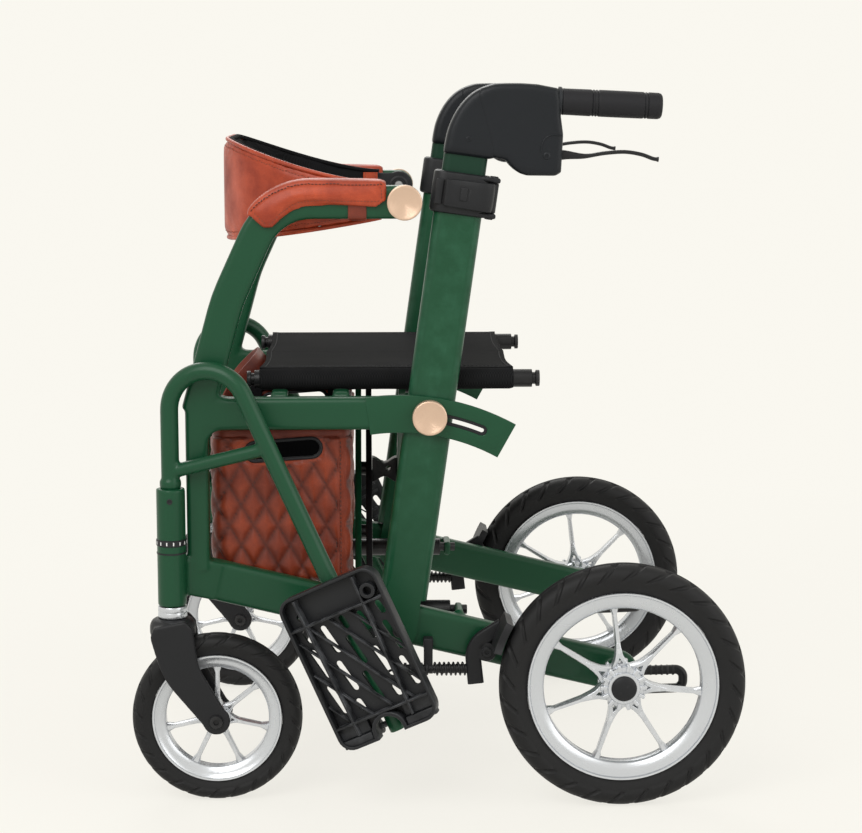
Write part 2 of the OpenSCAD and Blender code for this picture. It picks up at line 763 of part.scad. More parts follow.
module caster_axle() color(steel) at_caster() {
    reach = caster_tyre_w / 2 + fork_gap + fork_t;
    cross_pin([caster_trail, caster_r], caster_axle_r, -reach, reach);
    for (y = [-reach, reach + 4]) cross_pin([caster_trail, caster_r], caster_axle_r + 4, y - 4, y);
    translate([0, 0, fork_top + collar_gap]) difference() {
        cylinder(d = head_d, h = head_low - fork_top - collar_gap - 0.3);
        translate([0, 0, -1]) cylinder(r = steer_r + slide_fit, h = head_low);
    }
}

module caster_wheel() color(rim_silver) at_caster() translate([caster_trail, 0, caster_r])
    spoked_wheel(caster_rim_r, 17, caster_tyre_w - 6, caster_hub_r, caster_tyre_w + 2 * fork_gap - 1,
        caster_axle_r + pin_fit, 7, 3.5, 12);

module caster_tyre() color(soft_black) at_caster() translate([caster_trail, 0, caster_r])
    tyre(caster_r, caster_rim_r, caster_tyre_w);

// Brakes

brake_hook = [[-13, -44], [-13, -2], [15, 34]];
brake_bend = 30;

module brake_arm() color(matt_black) {
    arm_in = rail_outer_y - brake_boss_len - pass_gap / 2;
    arm_out = arm_in - brake_arm_t + pass_gap;
    shoe_out = wheel_y - rear_tyre_w / 2 + 4;
    shoe_mid = 159;
    difference() {
        union() {
            side_plate(arm_out, arm_in)
                polygon(flat_bar(way([for (p = brake_hook) brake_pivot + p], [brake_bend]), 10, 9));
            cross_pin(brake_pivot, 12, arm_out, arm_in);
            translate([0, 0, rear_r]) rotate([90, 0, 0]) rotate([0, 0, shoe_mid - 9])
                rotate_extrude(angle = 15) translate([rear_r + tyre_gap, -arm_in])
                    square([10, arm_in - shoe_out]);
        }
        cross_pin(brake_pivot, brake_pin_r + pin_fit, arm_out - 1, arm_in + 1);
    }
}

spring_from = adjuster_x + adjuster_len + 0.3;
spring_y = rail_outer_y - brake_boss_len - brake_arm_t / 2;
spring_rings = 8;
spring_steps = spring_curls * spring_rings;
spring_pitch = (spring_len - spring_wire) / spring_curls;
function spring_point(i) = let (a = 360 * i / spring_rings, r = spring_d / 2)
    [spring_from + spring_wire / 2 + spring_pitch * i / spring_rings,
        spring_y + r * cos(a), adjuster_z + r * sin(a)];
function spring_ring(i) = let (p = spring_point(i), a = 360 * i / spring_rings)
    [for (j = [0:5]) let (b = 60 * j, out = spring_wire / 2 * cos(b), along = spring_wire / 2 * sin(b))
        p + [along, out * cos(a), out * sin(a)]];
spring_gap = min([for (i = [spring_rings:spring_steps])
    norm(spring_point(i) - spring_point(i - spring_rings)) - spring_wire]);
echo(spring_gap = spring_gap);

module brake_spring() color(soft_black) swept([for (i = [0:spring_steps]) spring_ring(i)]);

function cable_ring(i) = let (
    n = len(cable_route) - 1,
    along = unit(cable_route[min(i + 1, n)] - cable_route[max(i - 1, 0)]),
    r = cable_d / 2)
    [for (j = [0:7]) let (b = 45 * j) [cable_route[i][0] - along[1] * r * cos(b), spring_y + r * sin(b),
        cable_route[i][1] + along[0] * r * cos(b)]];

module brake_cable() color(soft_black) {
    swept([for (i = [0:len(cable_route) - 1]) cable_ring(i)]);
    translate([adjuster_x, spring_y, adjuster_z]) rotate([0, 90, 0]) {
        cylinder(r = 6, h = adjuster_len);
        for (i = [0:3]) translate([0, 0, 4 + i * 9]) cylinder(r = 8, h = 5);
    }
    cross_pin(cable_route[0], cable_grommet_r, spring_y - 3, rail_outer_y - weld_gap);
    bracket_x = adjuster_x + adjuster_len - 11;
    bracket_top = rail_z(bracket_x) - 9;
    translate([bracket_x, spring_y - 3, adjuster_z]) cube([11, 6, bracket_top - adjuster_z]);
    translate([bracket_x, spring_y - 3, bracket_top - 12])
        cube([11, rail_outer_y - weld_gap - spring_y + 3, 12]);
}

kerb_way = way([[-30, rail_z(-30) - 6], [20, rear_r - 6], [86, rear_r - 4], [86, rear_r - 28],
    [20, rear_r - 30], [-10, rear_r - 22]], [40, 10, 10, 40]);

module kerb_pedal() color(soft_black) swept(tube_rings(kerb_way, 6, 10, rail_inner_y + 6.3));

// Footrests

module at_footrest() {
    translate([head_x, head_y, 0]) rotate([0, 0, -foot_splay]) children();
}

// A pivot that drops into the head tube, a collar that rests on it, and the tube above
foot_collar = 10;
foot_way = way([[0, head_high + foot_collar / 2], [0, foot_corner_z], [foot_reach, foot_end_z]],
    [foot_bend]);

module footrest_tube() color(frame_green) at_footrest() difference() {
    union() {
        translate([0, 0, head_high - foot_insert + 1]) cylinder(r = foot_r, h = foot_insert);
        translate([0, 0, head_high + 0.3]) cylinder(r = foot_r + 2, h = foot_collar);
        swept(tube_rings(foot_way, foot_r, 16, 0));
        rung_rise = 33;
        rung_run = (foot_corner_z - head_high - 20 - rung_rise) * tan(foot_slope) - 2;
        translate([2, 0, head_high + 20]) rotate([0, 90 - atan2(rung_rise, rung_run), 0])
            cylinder(d = rung_d, h = norm([rung_run, rung_rise]));
    }
    foot_pin(foot_pin_r + pin_fit, 2 * foot_d);
}

function foot_hinge() = [foot_reach, foot_end_z] + foot_tail * [-sin(foot_slope), cos(foot_slope)];

module at_foot_hinge() {
    translate([foot_hinge()[0], 0, foot_hinge()[1]]) rotate([0, -foot_slope, 0]) children();
}

module foot_pin(r, length) {
    at_foot_hinge() rotate([0, 90, 0]) cylinder(r = r, h = length, center = true);
}

module footplate_outline() {
    r = footplate_round;
    difference() {
        translate([0, (footplate_len - footplate_below) / 2])
            rounded(footplate_w, footplate_len + footplate_below, r);
        translate([-notch_half, -footplate_below - 1]) square([2 * notch_half, notch_h + 1]);
    }
}

// Hinged at its lower edge, with the tread towards the tube and the ribs outside
module footplate() color(matt_black) at_footrest() {
    tread_y = -foot_r - 2;
    rim_y = tread_y - footplate_t - footplate_rim;
    slot_pitch = 26;
    hole_up = footplate_len - footplate_round - footplate_below;
    at_foot_hinge() {
        difference() {
            side_plate(rim_y, tread_y) footplate_outline();
            side_plate(rim_y - 1, tread_y - footplate_t) translate([0, (footplate_len + notch_h) / 2])
                square([footplate_w - 10, footplate_len - notch_h - 16], center = true);
            side_plate(rim_y - 1, tread_y + 1) {
                for (column = [-1.5:1.5], row = [0:2])
                    translate([column * slot_pitch + row * 4 - 4, 52 + row * 42]) rotate(8) {
                        square([9, 24], center = true);
                        for (end = [-12, 12]) translate([0, end]) circle(4.5);
                    }
                for (side = [-1, 1])
                    translate([side * (footplate_w / 2 - footplate_round), hole_up]) circle(5);
            }
        }
        for (rib = [-1, 1]) side_plate(rim_y + 2, tread_y - footplate_t + 1)
            translate([rib * footplate_w / 3.4, footplate_len / 2])
                square([3, footplate_len - 30], center = true);
        for (side = [-1, 1]) translate([side * (notch_half + ear_w / 2), 0, 0]) {
            translate([-ear_w / 2, 0, 0]) rotate([0, 90, 0]) cylinder(r = 9, h = ear_w);
            translate([-ear_w / 2, tread_y - 2, -9]) cube([ear_w, -tread_y + 2, 18]);
        }
    }
    foot_pin(foot_pin_r, 2 * notch_half + ear_w);
}

// X-brace, seat and bag

// A bar from the left lower pivot up to the right seat tube, which it carries
module half_brace(bar_x) {
    translate([bar_x, brace_y, brace_z]) rotate([0, 0, 90]) rotate([0, 90 - brace_angle, 0])
        linear_extrude(brace_len) rounded(bar_h, bar_w, 5);
    translate([lug_x[0] - lug_t, brace_y, brace_z]) rotate([0, 90, 0])
        cylinder(r = rod_r, h = lug_x[1] - lug_x[0] + 2 * lug_t);
    translate([lug_x[0] + lug_t, brace_y, brace_z]) rotate([0, 90, 0])
        cylinder(r = lug_r - 2, h = lug_x[1] - lug_x[0] - 2 * lug_t);
    translate([seat_tube_x, -seat_tube_y, seat_tube_z]) rotate([0, 90, 0]) {
        cylinder(d = seat_tube_d, h = seat_tube_len);
        for (z = [-seat_cap_len, seat_tube_len]) translate([0, 0, z])
            cylinder(d = seat_tube_d - 4, h = seat_cap_len);
    }
}

module left_brace() color(soft_black) half_brace(front_bar_x);

// Drawn on the left like every paired piece, and mirrored with the right side
module right_brace() color(soft_black) half_brace(rear_bar_x);

module brace_axle() color(steel) {
    span = rear_bar_x - front_bar_x - bar_w - 0.3;
    translate([front_bar_x + bar_w / 2, 0, (brace_z + seat_tube_z) / 2]) rotate([0, 90, 0])
        rotate_extrude() polygon([[0, 0], [16, 0], [16, 4], [9, span / 2], [16, span - 4],
            [16, span], [0, span]]);
}

module seat_sling() color(soft_black) {
    top = seat_tube_z + seat_tube_d / 2 + 0.3;
    edge = seat_tube_y - seat_tube_d / 2;
    translate([sling_x, edge, top]) cube([sling_len, -edge - 0.2, sling_t]);
}

module bag() color(leather_tan) {
    wide = 2 * (-rail_inner_y - pass_gap);
    front = upright_x + upright_w / 2 + 2;
    mouth_x = front + bag_len * 0.55;
    bag_round = 18;
    difference() {
        translate([front + bag_len / 2, 0, bag_low]) linear_extrude(bag_high - bag_low)
            rounded(bag_len, wide, bag_round);
        translate([front + bag_len / 2, 0, bag_low + bag_wall]) linear_extrude(bag_high)
            rounded(bag_len - 2 * bag_wall, wide - 2 * bag_wall, bag_round - bag_wall);
        side_plate(-wide, wide) translate([mouth_x, bag_high - 31]) rotate(6) {
            square([71, 26], center = true);
            for (end = [-35.5, 35.5]) translate([end, 0]) circle(13);
        }
    }
}

left() lower_frame();  // left_lower_frame
right() lower_frame();  // right_lower_frame
left() upper_frame();  // left_upper_frame
right() upper_frame();  // right_upper_frame
left() armrest_pad();  // left_armrest_pad
right() armrest_pad();  // right_armrest_pad
left() armrest_button();  // left_armrest_button
right() armrest_button();  // right_armrest_button
left() post();  // left_post
right() post();  // right_post
left() lock_knob();  // left_lock_knob
right() lock_knob();  // right_lock_knob
left() height_clamp();  // left_height_clamp
right() height_clamp();  // right_height_clamp
left() clamp_lever();  // left_clamp_lever
right() clamp_lever();  // right_clamp_lever
left() handle_stem();  // left_handle_stem
right() handle_stem();  // right_handle_stem
left() handle_housing();  // left_handle_housing
right() handle_housing();  // right_handle_housing
left() grip();  // left_grip
right() grip();  // right_grip
left() brake_lever();  // left_brake_lever
right() brake_lever();  // right_brake_lever
left() caster_fork();  // left_caster_fork
right() caster_fork();  // right_caster_fork
left() caster_axle();  // left_caster_axle
right() caster_axle();  // right_caster_axle
left() caster_wheel();  // left_caster_wheel
right() caster_wheel();  // right_caster_wheel
left() caster_tyre();  // left_caster_tyre
right() caster_tyre();  // right_caster_tyre
left() rear_wheel();  // left_rear_wheel
right() rear_wheel();  // right_rear_wheel
left() rear_tyre();  // left_rear_tyre
right() rear_tyre();  // right_rear_tyre
left() rear_axle();  // left_rear_axle
right() rear_axle();  // right_rear_axle
left() brake_arm();  // left_brake_arm
right() brake_arm();  // right_brake_arm
left() brake_spring();  // left_brake_spring
right() brake_spring();  // right_brake_spring
left() brake_cable();  // left_brake_cable
right() brake_cable();  // right_brake_cable
left() footrest_tube();  // left_footrest_tube
right() footrest_tube();  // right_footrest_tube
left() footplate();  // left_footplate
right() footplate();  // right_footplate
left() left_brace();
right() right_brace();
left() kerb_pedal();  // left_kerb_pedal
right() kerb_pedal();  // right_kerb_pedal
left() seat_sling();  // left_seat_sling
right() seat_sling();  // right_seat_sling
left() backrest_hinge();  // left_backrest_hinge
right() backrest_hinge();  // right_backrest_hinge
left() brace_axle();
left() bag();
left() backrest_band();
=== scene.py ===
import bmesh
import bpy
import math
from mathutils import Matrix, Vector, bvhtree, kdtree, noise


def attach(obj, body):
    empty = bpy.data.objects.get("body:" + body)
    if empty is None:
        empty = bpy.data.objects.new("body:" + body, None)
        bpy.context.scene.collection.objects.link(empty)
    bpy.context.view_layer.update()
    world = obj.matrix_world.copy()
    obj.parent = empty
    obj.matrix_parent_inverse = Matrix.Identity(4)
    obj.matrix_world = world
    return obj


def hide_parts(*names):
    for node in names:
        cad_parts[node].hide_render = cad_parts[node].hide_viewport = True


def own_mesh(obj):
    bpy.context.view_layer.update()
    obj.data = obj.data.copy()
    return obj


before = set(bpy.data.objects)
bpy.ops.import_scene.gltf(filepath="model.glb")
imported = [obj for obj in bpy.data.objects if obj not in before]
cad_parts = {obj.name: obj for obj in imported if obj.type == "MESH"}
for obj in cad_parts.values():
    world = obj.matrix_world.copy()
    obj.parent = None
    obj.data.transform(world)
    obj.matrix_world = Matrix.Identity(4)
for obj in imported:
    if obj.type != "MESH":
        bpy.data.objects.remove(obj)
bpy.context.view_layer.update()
print("frame loaded:", len(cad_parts), "solids")

# Millimetres from the rear axle, the middle plane and the floor, as in the part's source
axleX = 223.5
toRow = Matrix.Translation((axleX / 1000, 0, 0)) @ Matrix.Scale(0.001, 4)
mirrorY = Matrix.Scale(-1, 4, (0, 1, 0))
sideY = -231.0
headX, headY = -546.0, -258.0
rearAxle, casterAxle = (0, -295, 150), (-493, -258, 104)
postPivot, brakePivot = Vector((-270, 206)), Vector((-163, 182))
flipX, flipZ = -262.5, 731
alongX, alongY, alongZ, outward = (1, 0, 0), (0, 1, 0), (0, 0, 1), (0, -1, 0)


# Lines and outlines, in millimetres

def polar(r, degrees):
    return Vector((r * math.cos(math.radians(degrees)), r * math.sin(math.radians(degrees))))


def arc(at, r, start, end, count):
    return [Vector(at) + polar(r, start + (end - start) * i / count) for i in range(count + 1)]


def circle(at, r, count):
    return arc(at, r, 0, 360, count)[:-1]


def roundRect(w, h, r, steps=4):
    points = []
    for cx, cy, start in ((1, 1, 0), (-1, 1, 90), (-1, -1, 180), (1, -1, 270)):
        for i in range(steps + 1):
            p = polar(r, start + 90 * i / steps)
            points.append(Vector((cx * (w / 2 - r) + p.x, cy * (h / 2 - r) + p.y)))
    return points


def oval(w, h, count=28, power=2.0):
    points = []
    for i in range(count):
        a = 2 * math.pi * i / count
        c, s = math.cos(a), math.sin(a)
        points.append(Vector((w / 2 * math.copysign(abs(c) ** (2 / power), c),
                              h / 2 * math.copysign(abs(s) ** (2 / power), s))))
    return points


# A way is a row of (x, z, heading), rounded at its corners
def wayAlong(points, bends, step=7):
    pts = [Vector(p) for p in points]
    first = pts[1] - pts[0]
    out = [(pts[0].x, pts[0].y, math.degrees(math.atan2(first.y, first.x)))]
    for i in range(1, len(pts) - 1):
        a, b = (pts[i] - pts[i - 1]).normalized(), (pts[i + 1] - pts[i]).normalized()
        swing = math.degrees(math.atan2(a.x * b.y - a.y * b.x, a.dot(b)))
        r, sign = bends[i - 1], math.copysign(1, swing)
        back = r * math.tan(math.radians(abs(swing) / 2))
        centre = pts[i] - a * back + Vector((-a.y, a.x)) * r * sign
        head = math.degrees(math.atan2(a.y, a.x))
        count = max(2, math.ceil(abs(swing) / step))
        for k in range(count + 1):
            h = head + swing * k / count
            p = centre + polar(r, h - 90 * sign)
            out.append((p.x, p.y, h))
    last = pts[-1] - pts[-2]
    out.append((pts[-1].x, pts[-1].y, math.degrees(math.atan2(last.y, last.x))))
    return out


def fillWay(way, gap):
    dense = [way[0]]
    for a, b in zip(way, way[1:]):
        count = max(1, int(math.hypot(b[0] - a[0], b[1] - a[1]) / gap))
        for k in range(1, count + 1):
            t = k / count
            dense.append(tuple(a[i] + (b[i] - a[i]) * t for i in range(3)))
    return dense


def straightWay(start, end, gap):
    return fillWay(wayAlong([start, end], []), gap)


def smoothRoute(route, steps):
    pts = [Vector(p) for p in route]
    dense = []
    for i in range(len(pts) - 1):
        p0, p1, p2, p3 = pts[max(i - 1, 0)], pts[i], pts[i + 1], pts[min(i + 2, len(pts) - 1)]
        for k in range(steps):
            t = k / steps
            dense.append(0.5 * (2 * p1 + (p2 - p0) * t + (2 * p0 - 5 * p1 + 4 * p2 - p3) * t * t
                                + (3 * p1 - p0 - 3 * p2 + p3) * t ** 3))
    return dense + [pts[-1]]


def heading(points, i):
    return (points[min(i + 1, len(points) - 1)] - points[max(i - 1, 0)]).normalized()


# Cuts a row of points where a test fails, and keeps each run of three and more
def keptRuns(points, keep):
    runs = [[]]
    for p in points:
        if keep(p):
            runs[-1].append(p)
        elif runs[-1]:
            runs.append([])
    return [run for run in runs if len(run) > 2]


# Shape helpers: each adds a closed shell to a bmesh

def addLoft(bm, rings, closed=False, material=0):
    rows = [[bm.verts.new(p) for p in ring] for ring in rings]
    n = len(rows[0])
    pairs = list(zip(rows, rows[1:])) + ([(rows[-1], rows[0])] if closed else [])
    faces = []
    for low, high in pairs:
        for j in range(n):
            faces.append(bm.faces.new((low[j], low[(j + 1) % n], high[(j + 1) % n], high[j])))
    if not closed:
        faces.append(bm.faces.new(list(reversed(rows[0]))))
        faces.append(bm.faces.new(rows[-1]))
    for f in faces:
        f.material_index = material
    return faces


def addBar(bm, way, section, y, scale=None):
    rings = []
    for i, (x, z, h) in enumerate(way):
        s = scale(i / (len(way) - 1)) if scale else (1, 1)
        up = polar(1, h + 90)
        rings.append([Vector((x + up.x * p.x * s[0], y + p.y * s[1], z + up.y * p.x * s[0]))
                      for p in section])
    addLoft(bm, rings)


def addTube(bm, points, radius, sides=16, material=0, closed=False):
    pts = [Vector(p) for p in points]
    n = len(pts)
    side, rings = None, []
    for i, p in enumerate(pts):
        along = (pts[(i + 1) % n] - pts[i - 1]).normalized() if closed else heading(pts, i)
        if side is None:
            side = along.orthogonal().normalized()
        side = (side - along * side.dot(along)).normalized()
        other = along.cross(side)
        r = radius(i / (n - 1)) if callable(radius) else radius
        rings.append([p + (side * math.cos(a) + other * math.sin(a)) * r
                      for a in (2 * math.pi * j / sides for j in range(sides))])
    addLoft(bm, rings, closed=closed, material=material)


def addTurned(bm, profile, at, axis, sides=48, material=0):
    at, axis = Vector(at), Vector(axis).normalized()
    side = axis.orthogonal().normalized()
    other = axis.cross(side)
    thinnest = 0.01
    rings = []
    for r, h in profile:
        rings.append([at + axis * h + (side * math.cos(a) + other * math.sin(a)) * max(r, thinnest)
                      for a in (2 * math.pi * j / sides for j in range(sides))])
    addLoft(bm, rings, material=material)


# A round pin between two heights on its axis; ease is how far its ends run in and back
def addPin(bm, r, low, high, at, axis, sides=48, ease=None):
    profile = [(r, low), (r, high)]
    if ease:
        profile = [(r - ease[0], low), (r, low + ease[1]), (r, high - ease[1]), (r - ease[0], high)]
    addTurned(bm, profile, at, axis, sides)


def addBolt(bm, at, axis, r, high, socket, material=0):
    addTurned(bm, [(r, 0), (r, high * 0.6), (r * 0.86, high), (socket, high), (socket * 0.94, high * 0.35),
                   (0, high * 0.35)], at, axis, sides=24, material=material)


# An outline in x and z between two depths, with holes and bevelled rims
def addPlate(bm, outline, outerY, innerY, holes=(), bevel=0.0, material=0):
    part = bmesh.new()
    loops = []
    flat, sharp, level = 0.02, 0.7, 0.001
    for loop in [outline, *holes]:
        verts = [part.verts.new((p[0], outerY, p[1])) for p in loop]
        ends = verts[1:] + verts[:1]
        loops += [part.edges.new(pair) for pair in zip(verts, ends)]
    bmesh.ops.triangle_fill(part, use_beauty=True, use_dissolve=False, edges=loops)
    if not holes:
        bmesh.ops.dissolve_limit(part, angle_limit=flat, verts=part.verts, edges=part.edges)
    made = bmesh.ops.extrude_face_region(part, geom=part.faces[:])
    lifted = [g for g in made["geom"] if isinstance(g, bmesh.types.BMVert)]
    bmesh.ops.translate(part, verts=lifted, vec=(0, innerY - outerY, 0))
    bmesh.ops.recalc_face_normals(part, faces=part.faces[:])
    if bevel > 0:
        rims = [e for e in part.edges if len(e.link_faces) == 2 and e.calc_face_angle(0) > sharp
                and abs((e.verts[0].co - e.verts[1].co).y) < level]
        bmesh.ops.bevel(part, geom=rims, offset=bevel, segments=3, profile=0.5, affect="EDGES",
                        clamp_overlap=True)
    joinInto(bm, part, material)


def addBlock(bm, low, high, bevel=1.0, material=0, matrix=None):
    part = bmesh.new()
    bmesh.ops.create_cube(part, size=1)
    low, high = Vector(low), Vector(high)
    for v in part.verts:
        v.co = Vector([low[i] + (v.co[i] + 0.5) * (high[i] - low[i]) for i in range(3)])
    if bevel > 0:
        bmesh.ops.bevel(part, geom=part.edges[:], offset=bevel, segments=3, profile=0.5, affect="EDGES")
    if matrix:
        part.transform(matrix)
    joinInto(bm, part, material)


# A flat strap along a line, its face turned to look the given way
def addStrap(bm, points, wide, thick, facing=None, material=0):
    pts = [Vector(p) for p in points]
    rings = []
    for i, p in enumerate(pts):
        along = heading(pts, i)
        across = along.cross(Vector(facing)).normalized() if facing else Vector(alongX)
        up = across.cross(along).normalized()
        rings.append([p + across * q.x + up * q.y for q in roundRect(wide, thick, thick * 0.45, 3)])
    addLoft(bm, rings, material=material)


# Stitches along a line: lift is one offset, or one for each point
def addStitches(bm, points, lift, gap=4.2, length=2.6, r=0.45, material=0):
    pts = [Vector(p) for p in points]
    lifts = [Vector(v) for v in lift] if hasattr(lift[0], "__len__") else [Vector(lift)] * len(pts)
    run, at = 0.0, gap / 2
    for i in range(len(pts) - 1):
        step = (pts[i + 1] - pts[i]).length
        while step > 1e-6 and at <= run + step:
            t = (at - run) / step
            p = pts[i].lerp(pts[i + 1], t) + lifts[i].lerp(lifts[i + 1], t)
            along = (pts[i + 1] - pts[i]).normalized() * length / 2
            dip = lifts[i].normalized() * r * 0.8
            addTube(bm, [p - along - dip, p - along * 0.6, p + along * 0.6, p + along - dip],
                    lambda s: r * (0.55 if s in (0, 1) else 1), sides=5, material=material)
            at += gap
        run += step


# Meshes and pieces

def takeMesh(name, bm):
    mesh = bpy.data.meshes.new(name)
    bm.to_mesh(mesh)
    bm.free()
    return mesh


def takeShell(mesh):
    bm = bmesh.new()
    bm.from_mesh(mesh)
    bpy.data.meshes.remove(mesh)
    return bm


def joinInto(bm, part, material=None):
    if material is not None:
        for f in part.faces:
            f.material_index = material
    mesh = takeMesh("joining", part)
    bm.from_mesh(mesh)
    bpy.data.meshes.remove(mesh)


def addObject(name, data):
    obj = bpy.data.objects.new(name, data)
    bpy.context.scene.collection.objects.link(obj)
    return obj


def addMelt(obj, voxel):
    melt = obj.modifiers.new("melt", "REMESH")
    melt.mode = "VOXEL"
    melt.voxel_size = voxel


def shownMesh(obj):
    return bpy.data.meshes.new_from_object(obj.evaluated_get(bpy.context.evaluated_depsgraph_get()))


# Melts overlapping shells into one skin with filleted joins
def fuseShells(bm, voxel, smooth):
    obj = addObject("fusing", takeMesh("fusing", bm))
    addMelt(obj, voxel)
    ease = obj.modifiers.new("ease", "SMOOTH")
    ease.factor = 0.5
    ease.iterations = smooth
    done = shownMesh(obj)
    bpy.data.objects.remove(obj)
    return takeShell(done)


def makePiece(name, bm, body, materials, slotName, nodes=(), mirrored=False, sharp=38):
    mesh = bpy.data.meshes.new(name)
    bm.to_mesh(mesh)
    mesh.transform(toRow)
    if mirrored:
        mesh.transform(mirrorY)
        mesh.flip_normals()
    for m in materials:
        mesh.materials.append(m)
    mesh.polygons.foreach_set("use_smooth", [True] * len(mesh.polygons))
    mesh.set_sharp_from_angle(angle=math.radians(sharp))
    obj = addObject(name, mesh)
    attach(obj, body)
    if nodes:
        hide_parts(*nodes)
    return obj


def makeSingle(name, bm, *rest, **more):
    bmesh.ops.recalc_face_normals(bm, faces=bm.faces[:])
    piece = makePiece(name, bm, *rest, **more)
    bm.free()
    return piece


# The left piece and its mirror image
def makePair(name, bm, body, materials, slotName, nodes=(), sharp=38, keepBodies=None):
    bmesh.ops.recalc_face_normals(bm, faces=bm.faces[:])
    made = []
    for side in ("left", "right"):
        rider = keepBodies[side] if keepBodies else side + "_" + body
        made.append(makePiece(side + "_" + name, bm, rider, materials, slotName,
                              [side + "_" + n for n in nodes], side == "right", sharp))
    bm.free()
    return made


# Finishes: shared effects are node groups, and each material places them with its own values

def connect(tree, value, socket):
    if isinstance(value, bpy.types.NodeSocket):
        tree.links.new(value, socket)
    else:
        socket.default_value = value


def newGroup(name, inputs, outputs):
    group = bpy.data.node_groups.new(name, "ShaderNodeTree")
    for label, value in inputs.items():
        kind = "NodeSocketColor" if isinstance(value, tuple) else "NodeSocketFloat"
        group.interface.new_socket(label, in_out="INPUT", socket_type=kind).default_value = value
    for label in outputs:
        kind = "NodeSocketColor" if label == "Colour" else "NodeSocketFloat"
        group.interface.new_socket(label, in_out="OUTPUT", socket_type=kind)
    return group, group.nodes.new("NodeGroupInput").outputs, group.nodes.new("NodeGroupOutput").inputs


def giveOut(group, give, **outputs):
    for label, socket in outputs.items():
        group.links.new(socket, give[label])
    return group


def addNode(tree, kind, links=None, **values):
    node = tree.nodes.new(kind)
    for key, value in values.items():
        setattr(node, key, value)
    for key, value in (links or {}).items():
        connect(tree, value, node.inputs[key])
    return node


def mathNode(tree, operation, a, b=0.0):
    return addNode(tree, "ShaderNodeMath", {0: a, 1: b}, operation=operation).outputs[0]


def mixColour(tree, factor, a, b):
    return addNode(tree, "ShaderNodeMix", {0: factor, 6: a, 7: b}, data_type="RGBA").outputs[2]


def scaleColour(tree, colour, tone):
    return addNode(tree, "ShaderNodeVectorMath", {0: colour, "Scale": tone}, operation="SCALE").outputs[0]


def objectPlace(tree):
    return addNode(tree, "ShaderNodeTexCoord").outputs["Object"]


def noiseOf(tree, place, scale, detail, rough=0.5, output="Fac"):
    return addNode(tree, "ShaderNodeTexNoise", {"Vector": place, "Scale": scale, "Detail": detail,
                                                "Roughness": rough}).outputs[output]


def mapRange(tree, value, low=0.0, high=1.0, toLow=0.0, toHigh=1.0):
    return addNode(tree, "ShaderNodeMapRange", {"Value": value, "From Min": low, "From Max": high,
                                                "To Min": toLow, "To Max": toHigh}).outputs[0]


# Fine speckle of paint, moulding or rubber, and slow drifts of tone
def buildSpeckle():
    group, take, give = newGroup("speckle", {
        "Colour": (0.5, 0.5, 0.5, 1), "Drift": 0.1, "Fine Scale": 900.0, "Broad Scale": 14.0,
        "Roughness": 0.45, "Roughness Drift": 0.08}, ("Colour", "Roughness", "Height"))
    place = objectPlace(group)
    fine = noiseOf(group, place, take["Fine Scale"], 3.0, 0.6)
    swing = mathNode(group, "SUBTRACT", noiseOf(group, place, take["Broad Scale"], 4.0), 0.5)
    tone = mathNode(group, "ADD", mathNode(group, "MULTIPLY", swing, take["Drift"]), 1.0)
    rough = mathNode(group, "ADD", take["Roughness"],
                     mathNode(group, "MULTIPLY", swing, take["Roughness Drift"]))
    return giveOut(group, give, Colour=scaleColour(group, take["Colour"], tone), Roughness=rough, Height=fine)


# Lighter edges, from the angle between neighbouring faces: part rubbed wear, part a painted highlight along the edges
def buildEdgeWearAndHighlight():
    group, take, give = newGroup("edgeWearAndHighlight", {
        "Colour": (0.5, 0.5, 0.5, 1), "Rubbed": (0.8, 0.8, 0.8, 1), "Amount": 0.25, "Patches": 60.0}, ("Colour",))
    ridge = mapRange(group, addNode(group, "ShaderNodeNewGeometry").outputs["Pointiness"], 0.53, 0.62)
    broken = mapRange(group, noiseOf(group, objectPlace(group), take["Patches"], 5.0), 0.38, 0.68)
    mask = mathNode(group, "MULTIPLY", mathNode(group, "MULTIPLY", ridge, broken), take["Amount"])
    return giveOut(group, give, Colour=mixColour(group, mask, take["Colour"], take["Rubbed"]))


# Pebbled leather: pores between small cells, darker creases and a mottled dye
def buildLeatherGrain():
    group, take, give = newGroup("leatherGrain", {
        "Light": (0.4, 0.12, 0.05, 1), "Dark": (0.16, 0.04, 0.02, 1), "Pebble Scale": 480.0,
        "Mottle Scale": 22.0}, ("Colour", "Roughness", "Height"))
    place = objectPlace(group)
    warp = noiseOf(group, place, 90.0, 2.0, output="Color")
    bent = addNode(group, "ShaderNodeVectorMath", {0: warp, 1: (0.004, 0.004, 0.004), 2: place},
                   operation="MULTIPLY_ADD").outputs[0]
    cells = addNode(group, "ShaderNodeTexVoronoi", {"Vector": bent, "Scale": take["Pebble Scale"]},
                    feature="DISTANCE_TO_EDGE").outputs["Distance"]
    pebble = mapRange(group, cells, high=0.22)
    dye = mapRange(group, noiseOf(group, place, take["Mottle Scale"], 6.0, 0.62), 0.3, 0.68)
    crease = mathNode(group, "ADD", mathNode(group, "MULTIPLY", pebble, 0.25), 0.75)
    shade = mathNode(group, "MULTIPLY", dye, crease)
    return giveOut(group, give, Colour=mixColour(group, shade, take["Dark"], take["Light"]),
                   Roughness=mapRange(group, shade, toLow=0.52, toHigh=0.3), Height=pebble)


